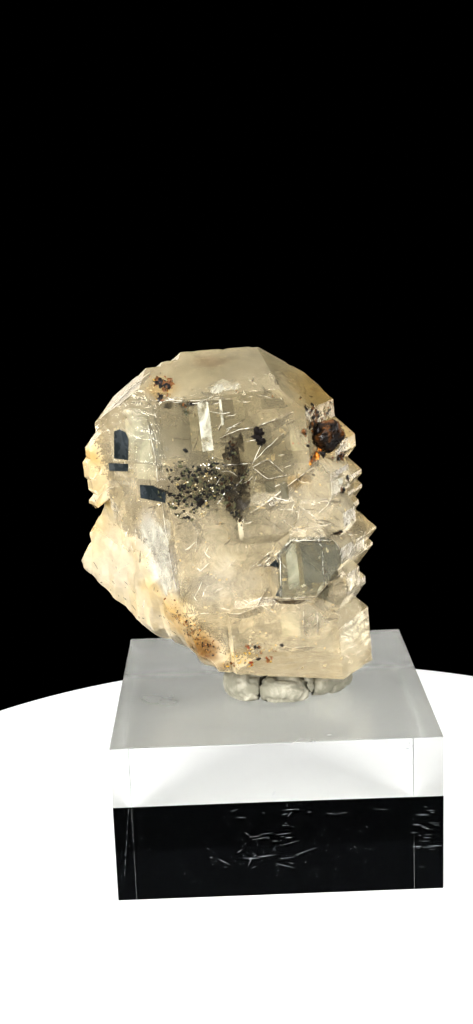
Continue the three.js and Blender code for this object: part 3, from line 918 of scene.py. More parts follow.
class SPECIMEN_OT_quartz(bpy.types.Operator):
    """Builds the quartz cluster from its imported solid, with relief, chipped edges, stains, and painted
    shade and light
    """

    bl_idname = "specimen.quartz"
    bl_label = "Quartz cluster"

    def execute(self, context):
        settings = context.scene.specimen.quartz
        mesh = merged_copy("quartz_crystal", settings.longest_edge)
        points, normals, on_edge = mesh_arrays(mesh)
        relief, broken = quartz_relief(points, normals, on_edge, settings)
        move_points(mesh, points, normals, relief)
        # Stains, painted shade and painted light, stored on each point
        add_colours(mesh, "stain", paint_stains_and_light(points, normals))
        add_values(mesh, "frost", skin_frost(points, broken))
        mesh.materials.append(quartz_material("milky_quartz", settings.milky_share, 0.0, settings))
        mesh.materials.append(quartz_material("clear_quartz", settings.clear_share, 0.65, settings))
        mesh.materials.append(quartz_material("weathered_quartz", settings.weathered_share, 0.0, settings))
        mesh.polygons.foreach_set("material_index", skin_kinds(mesh, points))
        piece = finish_piece("quartz_body", mesh, sharp_above=11)
        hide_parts("quartz_crystal")
        return {"FINISHED"}


# The grains


def cluster(spots, spread, count, seed):
    """Points of x and z by chance about some spots, count about each."""
    rng = np.random.default_rng(seed)
    spots = np.repeat(np.asarray(spots, float), count, axis=0)
    return spots + rng.normal(0.0, 1.0, spots.shape) * spread


def scattered(rows):
    """Groups of grains from rows of their spots, spread, count, look and seed."""
    return [
        (cluster(spots, spread, count, seed), *look, seed + 1)
        for spots, spread, count, *look, seed in rows
    ]


def grains(name, groups, material):
    """Joins groups of grains into one piece. Each group holds the grains' places as x and z, their depth
    under the skin, the range of their sizes, their flatness, the colours to draw from and a seed."""
    shapes, tints = [], []
    for places, depth, sizes, flatness, colours, seed in groups:
        rng = np.random.default_rng(seed)
        places = np.asarray(places, float)
        deep = rng.uniform(depth[0], depth[1], len(places))
        at, normals = on_front(places[:, 0], places[:, 1])
        good = ~np.isnan(at[:, 0])
        at, normals, deep = at[good], normals[good], deep[good]
        size = sizes[0] * (sizes[1] / sizes[0]) ** (rng.uniform(0, 1, len(at)) ** 1.6)
        shapes.append(chips(at - normals * deep[:, None], normals, size, flatness, seed + 1))
        picked = np.asarray(colours)[rng.integers(0, len(colours), len(at))]
        tints.append(np.repeat(picked, len(shapes[-1][0]) // max(len(at), 1), axis=0))
    joined_piece(name, shapes, material, tints=np.concatenate(tints))


# Spots on the front of the quartz, as x and z in millimetres
IRON_LEFT = ((-12.2, 59.4), (-11.5, 58.9), (-11.2, 58.5), (-10.8, 58.8), (-11.7, 57.5), (-11.9, 59.3))
IRON_LEFT_SMEAR = ((-8.5, 56.5), (-9.1, 56.9), (-8.9, 56.2))
IRON_RIGHT = (
    (4.9, 55.6), (5.6, 55.5), (6.1, 55.0), (6.4, 54.6), (5.4, 55.1), (5.7, 54.4), (6.2, 54.3), (5.6, 53.7),
    (5.2, 53.5), (4.7, 53.0), (7.7, 54.4),
)
IRON_BITS = ((9.0, 49.2), (8.7, 49.5), (6.8, 50.1), (9.8, 46.9), (9.1, 45.4), (8.4, 40.9), (7.4, 50.4))
LUMP_RIM = ((5.8, 53.6), (5.7, 53.0), (5.8, 52.4), (6.0, 51.7), (6.4, 51.0), (8.9, 49.4), (9.2, 49.1))
SMALL_MARKS = ((-1.2, 59.1), (4.3, 56.8), (5.7, 56.5), (2.4, 56.1), (-3.0, 58.0), (1.0, 57.2))
FOOT_SPOTS = (
    (-5.6, 25.0), (-4.9, 24.9), (-3.6, 25.6), (-3.0, 26.4), (-2.2, 27.3), (-4.2, 26.6), (-1.2, 26.6),
    (0.2, 27.0),
)
LOW_BLACK = ((-1.9, 27.3), (-1.5, 27.3), (1.3, 27.4), (-4.8, 25.2), (-1.6, 25.9))
LOW_RUST = ((-0.4, 25.6), (-0.1, 25.7), (-4.5, 25.1), (-2.7, 27.2), (-2.4, 25.3))
AMBER_STREAK = ((5.2, 49.2), (5.6, 49.7), (6.0, 50.1), (6.6, 50.7), (7.2, 51.0))
BLACK_INCLUSION = ((-0.9, 53.3), (-0.5, 52.9), (-0.8, 52.3), (-0.4, 52.0), (-0.9, 52.7))
SOOTY_COLUMN = ((-3.9, 50.8), (-2.6, 47.8), (-4.6, 46.6), (-3.6, 44.8), (-3.3, 43.6))
AMBER_FOOT = ((8.2, 51.6), (9.0, 49.2))
# Spots of the painted glints: flat flakes under the front that stand in for light and dark thrown back by
# inner faces
UPPER_GLINTS = ((-6.0, 52.0), (-1.0, 49.0), (-13.0, 52.0), (2.0, 47.0))
RIGHT_GLINTS = ((3.0, 42.0), (8.0, 44.0), (1.0, 37.0))
LOWER_GLINTS = ((-8.0, 40.0), (-14.0, 42.0), (-4.0, 32.0), (3.0, 30.0))

# Grains about those spots: how far they scatter, how many lie about each spot, their depth under the skin,
# their sizes, their flatness, the colours to draw from and a seed
SKIN = (-0.06, 0.10)
IRON_SPECKS = (
    (IRON_LEFT, 0.2, 12, SKIN, (0.12, 0.36), 0.45, DARK_IRON, 201),
    (IRON_LEFT, 0.4, 7, SKIN, (0.05, 0.15), 0.4, (OCHRE_GRAIN, RUST, IRON_BROWN), 203),
    (IRON_LEFT_SMEAR, 0.22, 9, SKIN, (0.08, 0.24), 0.4, (IRON_BROWN, IRON_BLACK, MOSS_OLIVE), 205),
    (IRON_RIGHT, 0.12, 7, SKIN, (0.10, 0.30), 0.5, DARK_IRON, 207),
    (IRON_RIGHT, 0.5, 9, SKIN, (0.03, 0.10), 0.5, DARK_IRON, 209),
    (IRON_BITS, 0.14, 9, SKIN, (0.10, 0.36), 0.5, DARK_IRON, 211),
    (SMALL_MARKS, 0.10, 4, SKIN, (0.05, 0.14), 0.5, DARK_IRON, 213),
    (LOW_BLACK, 0.07, 6, SKIN, (0.08, 0.20), 0.5, DARK_IRON, 215),
    (LOW_RUST, 0.2, 12, SKIN, (0.07, 0.20), 0.4, (RUST, IRON_BROWN, OCHRE_GRAIN), 217),
    (FOOT_SPOTS, 0.3, 9, SKIN, (0.05, 0.16), 0.4, (OCHRE_GRAIN, OCHRE_GRAIN, IRON_BROWN), 225),
    (LUMP_RIM, 0.16, 10, (-0.12, 0.04), (0.10, 0.34), 0.5, DARK_IRON, 227),
)
LUMP_DUST = (((7.4, 52.4),), (1.5, 1.6), 260, SKIN, (0.03, 0.14), 0.5, (IRON_BROWN, RUST, IRON_BLACK), 219)
STREAK_LOOK = (SKIN, (0.03, 0.12), 0.4, (IRON_BROWN, IRON_BROWN, BROWN, IRON_BLACK))
AMBER_LOOK = ((0.0, 0.25), (0.10, 0.26), 0.5, ORANGES)
AMBER_SPECKS = (AMBER_FOOT, 0.5, 18, (0.0, 0.1), (0.06, 0.16), 0.5, ORANGES, 223)
BLACK_SPECKS = (BLACK_INCLUSION, 0.16, 9, (-0.08, 0.3), (0.18, 0.46), 0.6, (IRON_BLACK,), 305)
SOOTY_LOOK = ((-0.06, 0.14), (0.07, 0.24), 0.6, (*DARK_MOSS, BURNT_BROWN))
# Painted glints: flat bright and dark flakes under the skin, standing in for inner reflections
GLINTS = (
    (UPPER_GLINTS, (2.6, 3.6), 34, (0.1, 0.5), (0.06, 0.34), 0.05, GREY_GLINTS, 351),
    (RIGHT_GLINTS, (2.4, 3.0), 22, (0.08, 0.4), (0.06, 0.30), 0.05, (MILK, CREAM, SMOKE, PALE, HONEY), 353),
    (LOWER_GLINTS, (2.8, 3.0), 30, (0.05, 0.4), (0.05, 0.2), 0.06, (MILK, PALE, PALE, HONEY), 355),
)

# The mossy mass: its grid's step as a share of the setting, the band of the noise, the grains' depth under
# the skin, their sizes, the colours to draw from and a seed
MOSS = (
    (0.42, (-0.14, 0.09), (-0.06, 0.08), (0.06, 0.17), DARK_MOSS, 301),
    (1.0, (-0.9, -0.14), (-0.04, 0.2), (0.07, 0.2), DARK_MOSS, 313),
    (1.0, (0.07, 0.9), (-0.05, 0.2), (0.06, 0.17), PALE_MOSS, 303),
    (2.4, (-0.9, -0.1), (-0.04, 0.3), (0.14, 0.36), DARK_MOSS, 309),
)
# The bounds of its grid, its middle and reach, in x and z, and how flat its grains are
MOSS_LEFT, MOSS_RIGHT, MOSS_LOW, MOSS_HIGH = -13.4, -1.6, 43.0, 51.4
MOSS_MIDDLE, MOSS_REACH = (-8.0, 47.1), (4.9, 3.0)
MOSS_FLATNESS = 0.5

# The brown streak along the break's edge, from its thin top to its foot, and how many grains it has
STREAK_TOP, STREAK_FOOT = np.array([-13.6, 33.4]), np.array([-7.2, 26.3])
STREAK_COUNT = 620


def streak_grains(seed):
    """Places of x and z for the brown streak: a line of grains, denser downwards, and set off a little."""
    rng = np.random.default_rng(seed)
    share = rng.uniform(0.0, 1.0, STREAK_COUNT)[:, None] ** 0.45
    line = STREAK_TOP * (1 - share) + STREAK_FOOT * share
    return line + rng.normal(0.0, 1.0, line.shape) * 0.55 + (0.25, 0.3)


def moss_places(step, seed, band):
    """Places of x and z for the mossy mass: a jittered grid, kept inside the mass and within a band of a
    noise's heights. A narrow band round zero gives a net of winding threads."""
    rng = np.random.default_rng(seed)
    x, z = np.meshgrid(np.arange(MOSS_LEFT, MOSS_RIGHT, step), np.arange(MOSS_LOW, MOSS_HIGH, step))
    places = np.stack([x.ravel(), z.ravel()], 1) + rng.uniform(-0.5, 0.5, (x.size, 2)) * step
    flat = np.c_[places, np.zeros(len(places))]
    apart = np.linalg.norm((places - MOSS_MIDDLE) / MOSS_REACH, axis=1)
    inside = layered_noise(flat * (0.5, 1.0, 1.0), 1.6, seed + 1) + 1.2 * (1.0 - apart) > 0.1
    net = layered_noise(flat * (0.8, 1.25, 1.0), 0.62, 307, 2)
    return places[inside & (net > band[0]) & (net < band[1])]


class SPECIMEN_OT_iron(bpy.types.Operator):
    """Builds the iron oxide lump in its pit and the iron specks set in the quartz's skin"""

    bl_idname = "specimen.iron"
    bl_label = "Iron oxide"

    def execute(self, context):
        settings = context.scene.specimen.iron
        mesh = merged_copy("iron_oxide_grain", 0.00016)
        points, normals, _ = mesh_arrays(mesh)
        lumps = settings.lump_relief * (layered_noise(points, 0.9, 81, 4) - 0.25)
        move_points(mesh, points, normals, lumps)
        oxide = mottled_material(
            "iron_oxide_lump", IRON_BLACK, IRON_BROWN, 620.0, roughness=(0.15, 0.6), bump=0.00008
        )
        mesh.materials.append(oxide)
        piece = finish_piece("iron_lump", mesh)
        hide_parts("iron_oxide_grain")
        streak = (streak_grains(229), *STREAK_LOOK, 230)
        groups = [*scattered(IRON_SPECKS), streak, *scattered([LUMP_DUST])]
        grains("iron_specks", groups, grain_material("iron_oxide_grains", 0.35, 0.5))
        amber = rounded_path(AMBER_STREAK, 0.06)
        amber = amber + np.random.default_rng(221).normal(0, 0.12, amber.shape)
        groups = [(np.repeat(amber, 3, axis=0), *AMBER_LOOK, 222), *scattered([AMBER_SPECKS])]
        grains("amber_streak", groups, grain_material("amber_grains", 0.25, 0.6))
        return {"FINISHED"}


# The veils and panels, on the front of the quartz

# Painted dark reflections: plates on the front where inner faces throw back the dark, as outlines of x and z
# in millimetres
DARK_REFLECTIONS = (
    ((-17.8, 49.9), (-16.1, 49.9), (-15.9, 52.4), (-16.2, 53.2), (-16.9, 53.5), (-17.6, 53.2)),
    ((-18.5, 48.4), (-16.2, 48.5), (-16.1, 49.4), (-18.5, 49.3)),
    ((-14.8, 45.4), (-11.8, 45.2), (-11.7, 46.4), (-13.2, 47.1), (-14.8, 47.0)),
    ((0.1, 37.4), (1.1, 37.4), (1.1, 38.6)),
    ((0.7, 33.7), (1.35, 33.8), (1.3, 35.2)),
)
# Upright bars and broad panels where inner faces throw back the light or the dark: middle in x and z, width,
# height
BRIGHT_COLUMNS = ((-6.8, 54.0, 1.3, 5.8), (-4.9, 55.6, 0.3, 3.0))
DARK_COLUMNS = (
    (-3.5, 50.4, 1.0, 2.4), (-2.9, 47.8, 0.7, 3.6), (-4.5, 46.4, 0.9, 2.6), (-3.3, 45.0, 0.8, 1.8),
)
DARK_PANELS = (
    (-10.6, 53.6, 3.9, 6.6), (-7.9, 50.0, 2.6, 2.4), (-4.2, 55.9, 1.4, 2.2), (0.0, 52.2, 1.6, 3.4),
    (2.6, 49.4, 1.2, 3.0), (5.6, 37.6, 3.4, 4.8), (-12.0, 57.6, 2.2, 0.9), (1.0, 56.4, 2.6, 1.2),
    (0.4, 47.2, 1.1, 2.6), (2.1, 46.2, 0.9, 2.2), (7.4, 37.6, 1.2, 4.6),
)
PALE_PANELS = (
    (-14.8, 52.9, 2.7, 6.4), (-14.0, 48.6, 2.4, 1.8), (-2.9, 56.0, 1.3, 2.6), (2.7, 37.4, 1.3, 5.6),
    (3.9, 52.6, 2.0, 3.6), (8.6, 46.2, 2.6, 1.6), (2.4, 30.0, 2.2, 3.0),
)
# Small faces in shade, as outlines of x and z
SHADED_FACES = (
    ((5.5, 33.5), (7.7, 32.0), (7.5, 34.9)),
    ((8.7, 33.1), (9.2, 33.2), (9.2, 34.5), (8.6, 34.4)),
)

# Ragged patches of fibres and soot: middle in x and z, reach and seed. The last two patches of fibres, near
# the roof, are a painted highlight.
FIBRES_AND_HIGHLIGHTS = (
    ((-13.9, 41.6), (1.2, 1.5), 381), ((-12.9, 39.4), (1.2, 2.4), 382), ((-12.3, 36.6), (0.8, 2.6), 383),
    ((-14.2, 38.4), (0.8, 1.8), 384), ((-12.0, 41.8), (0.7, 1.4), 385), ((-4.4, 58.6), (1.7, 0.55), 371),
    ((-5.4, 58.3), (0.9, 0.5), 372),
)
MOSS_SOOT = ((-8.0, 47.0), (5.2, 2.6), 361)
SOOT_PATCHES = (
    ((-3.6, 48.6), (1.5, 4.4), 362), ((-3.4, 45.4), (1.3, 2.6), 363), ((-10.2, 56.6), (1.6, 0.4), 364),
    ((-8.8, 56.2), (0.8, 0.7), 365), ((-8.6, 27.9), (1.5, 1.1), 366),
)
# How many points a patch's outline has, and by what share of its reach chance moves them
RAGGED_POINTS = 40
RAGGED_SHARE = 0.22

# Milky sheets inside the quartz: middle, reach across and up, turn in degrees, bow and seed
MILKY_SHEETS = (
    ((-14.2, -3.6, 41.0), (4.6, 5.0), 38.0, 0.9, 321),
    ((-12.6, -4.6, 36.0), (4.6, 4.8), 30.0, 0.7, 322),
    ((-8.5, -6.4, 38.5), (4.4, 5.0), 10.0, 0.6, 323),
    ((-3.6, -6.6, 34.6), (5.4, 5.0), -6.0, 0.8, 324),
    ((2.0, -6.2, 30.0), (6.0, 4.4), 4.0, 0.6, 325),
    ((-2.0, -3.0, 40.0), (7.0, 7.0), 16.0, 1.0, 326),
    ((3.5, -5.0, 44.5), (4.5, 4.2), -18.0, 0.8, 327),
    ((-4.0, 2.0, 34.0), (9.0, 7.0), -10.0, 1.0, 328),
    ((3.0, -4.6, 55.5), (5.0, 3.6), 20.0, 0.6, 329),
)


def ragged(middle, reach, seed):
    """A closed outline about a middle: an ellipse whose reach is broken up by chance at each point."""
    turn = np.linspace(0, 2 * math.pi, RAGGED_POINTS, endpoint=False)
    chance = np.random.default_rng(seed).uniform(-1, 1, (RAGGED_POINTS, 1))
    reach = np.asarray(reach) * (1 + RAGGED_SHARE * chance)
    return np.stack([np.cos(turn), np.sin(turn)], 1) * reach + middle


def column(x, z, width, height):
    """The outline of an upright bar that leans with the crystal's axis, with its corners a little uneven."""
    corners = np.array([(-1, -1), (1, -0.94), (1.05, 0.2), (0.96, 1), (-0.2, 1.04), (-1, 0.93)])
    corners = corners * (width / 2, height / 2)
    return corners @ np.array([[1.0, 0.0], [AXIS[0], AXIS[2]]]) + (x, z)


class SPECIMEN_OT_inclusions(bpy.types.Operator):
    """Builds what is sealed in the quartz, the mossy mass, the black inclusion and veils, and the plates of
    painted dark reflections, glints, reflections and shade on its front
    """

    bl_idname = "specimen.inclusions"
    bl_label = "Sealed inclusions"

    def execute(self, context):
        step = context.scene.specimen.iron.moss_step
        groups = [
            (moss_places(step * share, seed, band), depth, sizes, MOSS_FLATNESS, colours, seed + 1)
            for share, band, depth, sizes, colours, seed in MOSS
        ]
        groups += scattered([BLACK_SPECKS])
        groups += [(cluster(SOOTY_COLUMN, (0.38, 0.8), 60, 311), *SOOTY_LOOK, 308)]
        grains("mossy_inclusion", groups, grain_material("sealed_grains", 0.6, 0.3))
        # Painted dark reflections: near-black plates on the front where inner faces throw back the dark
        slate = mottled_material(
            "painted_dark_reflections", SLATE, PALE_SLATE, 300.0, roughness=(0.15, 0.35), bump=0.00001
        )
        reflected_dark = [plate(outline, 0.05, 0.25, 0.04) for outline in DARK_REFLECTIONS]
        joined_piece("painted_dark_reflections", reflected_dark, slate)
        milk = veil_material("milky_veils", MILK, 240.0, (0.38, 0.74), 0.8, 0.45)
        joined_piece("milky_veils", [sheet(*row) for row in MILKY_SHEETS], milk, smooth=True)
        # Painted glints: flat flakes under the front, standing in for inner reflections
        grains("painted_glints", scattered(GLINTS), grain_material("painted_glints", 0.3, 0.6))
        # Painted reflections: bright bars where inner faces throw back the light
        stripe = veil_material(
            "bright_reflections", STRIPE_REFLECTION, 640.0, (0.30, 0.66), 0.85, stretch=(1.0, 1.0, 0.6)
        )
        bars = [plate(column(*row), 0.05, 0.25) for row in BRIGHT_COLUMNS]
        joined_piece("bright_reflections", bars, stripe)
        # Fibrous milk, and a painted highlight near the roof from the last two patches
        wool_and_gleam = veil_material(
            "fibres_and_highlight", WOOL_AND_HIGHLIGHT, 620.0, (0.36, 0.76), 0.75, 0.6, stretch=(1.0, 1.0, 0.5)
        )
        joined_piece("fibres_and_highlight", [plate(ragged(*row), 0.05) for row in FIBRES_AND_HIGHLIGHTS], wool_and_gleam)
        soot = veil_material("sooty_cloud", SOOT, 420.0, (0.38, 0.66), 0.9)
        clouds = [plate(ragged(*MOSS_SOOT), 0.0)]
        clouds += [plate(ragged(*row), 0.01) for row in SOOT_PATCHES]
        joined_piece("sooty_cloud", clouds, soot)
        shade = veil_material("shaded_panels", OLIVE_SHADE, 260.0, (0.05, 0.60), 0.75, 0.4)
        panes = [plate(column(*row), -0.07) for row in DARK_PANELS]
        panes += [plate(outline, 0.03) for outline in SHADED_FACES]
        joined_piece("shaded_panels", panes, shade)
        gleam = veil_material("pale_panels", PANEL_PALE, 260.0, (0.22, 0.68), 0.55, 0.4)
        joined_piece("pale_panels", [plate(column(*row), -0.08) for row in PALE_PANELS], gleam)
        smoke = veil_material("smoky_veils", PEAT, 420.0, (0.40, 0.62), 0.9, stretch=(1.0, 1.0, 0.7))
        bars = [plate(column(*row), 0.04, 0.25) for row in DARK_COLUMNS]
        joined_piece("smoky_veils", bars, smoke)
        return {"FINISHED"}


# Healed cracks on the front: path of x and z, depth, lean of the foot in x and z, and width at the skin
CRACKS = (
    (((-5.2, 52.7), (-3.2, 53.5), (-1.1, 53.8), (1.0, 54.5), (3.3, 55.4)), 1.6, (0.4, -1.2), 0.14),
    (((-5.3, 49.4), (-3.4, 49.5), (-1.6, 49.6)), 0.8, (0.0, -0.5), 0.10),
    (((-1.5, 49.7), (0.3, 51.4), (2.1, 53.0)), 1.0, (0.5, -0.5), 0.07),
    (((-1.6, 49.1), (0.3, 50.0), (2.4, 48.0)), 0.8, (0.2, -0.6), 0.09),
    (((-1.6, 49.1), (0.2, 47.6), (2.4, 48.0)), 0.8, (0.0, 0.5), 0.07),
    (((-2.0, 43.9), (-0.3, 44.9), (1.6, 46.1), (3.6, 47.6), (5.5, 48.9)), 1.2, (0.8, -0.7), 0.10),
    (((0.7, 39.3), (-0.8, 38.0), (-2.1, 37.0)), 0.9, (-0.4, -0.8), 0.08),
    (((-0.2, 34.6), (-1.6, 32.4), (-3.6, 31.6), (-5.2, 31.7)), 1.0, (0.3, -0.8), 0.06),
    (((-1.0, 33.2), (1.8, 33.3), (4.6, 33.2)), 0.8, (0.0, -0.8), 0.06),
    (((0.6, 27.4), (2.8, 27.1), (5.2, 27.3)), 0.6, (0.0, -0.6), 0.04),
    (((-13.6, 55.0), (-12.8, 51.0), (-12.6, 47.6)), 0.7, (0.6, 0.0), 0.07),
    (((-12.4, 47.0), (-12.0, 42.0), (-11.6, 38.0), (-10.9, 34.0)), 0.7, (0.6, 0.0), 0.06),
    (((-15.4, 57.0), (-12.0, 57.3), (-8.0, 57.1), (-3.6, 57.2)), 0.6, (0.0, -0.6), 0.05),
    (((-9.4, 44.0), (-8.2, 41.6), (-8.6, 39.2)), 0.9, (0.7, 0.2), 0.05),
    (((6.2, 39.2), (6.3, 37.0), (6.3, 35.1)), 0.5, (0.3, 0.0), 0.06),
    (((5.9, 40.1), (6.3, 39.6)), 0.4, (0.1, -0.3), 0.22),
    (((3.9, 31.6), (3.9, 30.0), (4.0, 28.6)), 0.6, (0.3, 0.0), 0.05),
    (((1.4, 39.3), (2.0, 40.0), (2.6, 40.6)), 0.3, (0.2, -0.2), 0.20),
    (((2.5, 40.6), (5.0, 40.6), (7.5, 40.4)), 0.3, (0.0, -0.2), 0.12),
    (((7.5, 40.4), (8.4, 39.3)), 0.3, (0.0, -0.2), 0.10),
    (((1.3, 39.4), (1.3, 36.6), (1.3, 33.8)), 0.3, (0.1, 0.0), 0.12),
    (((0.4, 33.4), (2.8, 33.5), (5.3, 33.6)), 0.3, (0.0, 0.2), 0.14),
    (((5.3, 33.5), (6.9, 34.8), (8.5, 36.1)), 0.3, (-0.2, 0.2), 0.16),
    (((2.2, 40.4), (1.2, 39.2), (-0.6, 37.6), (-1.4, 37.2)), 0.4, (0.0, -0.3), 0.12),
    (((-1.4, 37.2), (0.0, 37.4), (1.1, 37.4)), 0.3, (0.0, 0.2), 0.14),
    (((5.5, 31.4), (5.6, 29.8), (5.5, 28.8)), 0.6, (0.3, 0.0), 0.05),
    (((-17.9, 56.0), (-15.0, 58.8), (-13.0, 60.2)), 0.5, (0.3, -0.4), 0.06),
)
# Zones of hairlines: middle in x and z, spread, how many, longest, slope and its spread in degrees
HAIR_ZONES = (
    ((-3.0, 52.0), (3.4, 3.6), 30, 3.4, 24.0, 26.0),
    ((3.0, 47.0), (3.6, 4.4), 34, 3.6, 32.0, 30.0),
    ((5.0, 42.0), (3.6, 2.6), 26, 3.0, -24.0, 34.0),
    ((-8.0, 57.2), (4.6, 0.35), 16, 2.0, 0.0, 14.0),
    ((1.5, 32.0), (4.6, 1.6), 22, 2.8, 8.0, 40.0),
    ((-8.0, 40.0), (3.2, 3.6), 20, 2.6, 55.0, 30.0),
    ((-14.5, 41.0), (2.4, 4.2), 26, 2.2, 60.0, 30.0),
    ((-19.5, 47.0), (1.0, 3.0), 18, 1.4, -35.0, 30.0),
    ((10.0, 44.0), (1.4, 6.0), 26, 1.8, 20.0, 50.0),
    ((-14.0, 33.0), (3.4, 3.4), 22, 2.6, -48.0, 16.0),
    ((2.0, 58.0), (5.0, 1.0), 14, 2.0, -10.0, 24.0),
)
# Hairlines: their depth, the lean of their foot, their widths, and how far from a plane they may run in y
HAIR_DEPTH = 0.45
HAIR_LEAN = (0.0, -0.3)
HAIR_WIDTHS = (0.04, 0.11)
HAIR_RUN = 1.6

# A crack's shadow lies beside it, and is shallower and narrower.
SHADOW_SHIFT = (0.06, -0.13)
SHADOW_DEPTH = 0.5
SHADOW_WIDTH = 0.8


def hairlines(zones, seed):
    """Fine curved cracks by chance in each zone: paths of three points, with a depth, a lean and a width."""
    rng = np.random.default_rng(seed)
    lines = []
    for middle, spread, count, longest, slope, scatter in zones:
        centre = rng.normal(0, 1, (count, 2)) * spread + middle
        angle = np.radians(slope + rng.normal(0, 1, count) * scatter)
        half = 0.5 * longest * rng.uniform(0.2, 1.0, count)
        along = np.stack([np.cos(angle), np.sin(angle)], 1) * half[:, None]
        bow = np.stack([-np.sin(angle), np.cos(angle)], 1) * (rng.normal(0, 0.16, count) * half)[:, None]
        width = rng.uniform(*HAIR_WIDTHS, count)
        paths = np.stack([centre - along, centre + bow, centre + along], 1)
        lines += [(path, HAIR_DEPTH, HAIR_LEAN, w) for path, w in zip(paths, width)]
    order = rng.permutation(len(lines))
    edges = [on_front(path[:, 0], path[:, 1])[0] for path, *_ in lines]
    whole = [not np.isnan(edge).any() and np.ptp(edge[:, 1]) < HAIR_RUN for edge in edges]
    return [lines[i] for i in order if whole[i]]


def crack_shapes(lines, seed):
    """A wedge for each crack, each with a seed of its own."""
    return [crack(*line, seed + 7 * index) for index, line in enumerate(lines)]


class SPECIMEN_OT_cracks(bpy.types.Operator):
    """Builds the healed cracks, thin wedges that catch the light"""

    bl_idname = "specimen.cracks"
    bl_label = "Healed cracks"

    def execute(self, context):
        hairs = hairlines(HAIR_ZONES, 461)
        pale = veil_material("crack_faces", CRACK_PALE, 650.0, (0.36, 0.60), 0.85, 0.2)
        joined_piece("healed_cracks", crack_shapes([*CRACKS, *hairs[::2]], 401), pale)
        shadows = [
            (np.add(path, SHADOW_SHIFT), depth * SHADOW_DEPTH, lean, width * SHADOW_WIDTH)
            for path, depth, lean, width in CRACKS
        ]
        dark = veil_material("crack_shadows", DARK_LINE, 700.0, (0.36, 0.62), 0.85)
        joined_piece("crack_shadows", crack_shapes([*shadows, *hairs[1::2]], 405), dark)
        return {"FINISHED"}


# The block

# Scratches on its front: middle in x and z, spread, how many, longest, slope and its spread in degrees
SCRATCHES = (
    ((-0.8, 7.4), (1.8, 0.5), 9, 2.2, 4.0, 8.0),
    ((-0.5, 5.2), (3.4, 1.2), 13, 2.4, -6.0, 20.0),
    ((-0.4, 10.4), (7.0, 0.3), 10, 1.8, 4.0, 8.0),
    ((-2.0, 6.0), (4.4, 2.6), 26, 0.9, 5.0, 70.0),
    ((0.0, 5.5), (9.0, 3.2), 150, 0.22, 0.0, 90.0),
    ((17.2, 7.4), (0.9, 2.6), 26, 1.6, 0.0, 3.0),
    ((15.1, 18.0), (0.2, 0.5), 10, 1.2, 0.0, 5.0),
    ((11.9, 18.5), (0.28, 0.25), 26, 0.7, 30.0, 50.0),
)
# A row of scratches beside the block's left edge: places of x and z at its ends, length, angle and width
EDGE_ROW_FOOT, EDGE_ROW_TOP = np.array([-18.4, 1.0]), np.array([-17.3, 11.2])
EDGE_ROW_COUNT = 9
EDGE_ROW_LOOK = (0.9, 1.46, 0.03)
# The range of the other scratches' widths, and how far all of them stand off the block
SCRATCH_WIDTHS = (0.018, 0.05)
SCRATCH_LIFT = 0.012


def scratches(seed):
    """Scratches on the block's front as flat slivers: each a spindle of eight points about its own line, with
    a foot in the acrylic. The last ones run up beside the block's left edge."""
    rng = np.random.default_rng(seed)
    rows = []
    for middle, spread, count, longest, slope, scatter in SCRATCHES:
        place = rng.normal(0, 1, (count, 2)) * spread + middle
        length = longest * rng.uniform(0.15, 1.0, count) ** 1.5
        angle = np.radians(slope + rng.normal(0, 1, count) * scatter)
        rows.append(np.column_stack([place, length, angle, rng.uniform(*SCRATCH_WIDTHS, count)]))
    share = np.linspace(0, 1, EDGE_ROW_COUNT)[:, None]
    place = EDGE_ROW_FOOT + (EDGE_ROW_TOP - EDGE_ROW_FOOT) * share
    rows.append(np.column_stack([place, np.tile(EDGE_ROW_LOOK, (EDGE_ROW_COUNT, 1))]))
    x, z, length, angle, width = np.concatenate(rows).T
    inside = (np.abs(x) < BLOCK_SIDE / 2 - 0.8) & (z > 0.6) & (z < BLOCK_TOP - 0.5)
    x, z, length, angle, width = (v[inside] for v in (x, z, length, angle, width))
    along = np.stack([np.cos(angle), 0 * angle, np.sin(angle)], 1)
    across = np.stack([-np.sin(angle), 0 * angle, np.cos(angle)], 1)
    centre = np.stack([x, 0 * x - BLOCK_SIDE / 2, z], 1)
    out = np.array([0.0, -SCRATCH_LIFT, 0.0])
    half, wide = (length / 2)[:, None] * along, (width / 2)[:, None] * across
    front = [centre - half + out, centre + wide + out, centre + half + out, centre - wide + out]
    back = [corner - 4 * out for corner in front]
    vertices = np.stack(front + back, 1).reshape(-1, 3)
    box = np.array([[0, 3, 2, 1], [4, 5, 6, 7], [0, 1, 5, 4], [1, 2, 6, 5], [2, 3, 7, 6], [3, 0, 4, 7]])
    return vertices, halved((box[None] + 8 * np.arange(len(x))[:, None, None]).reshape(-1, 4))


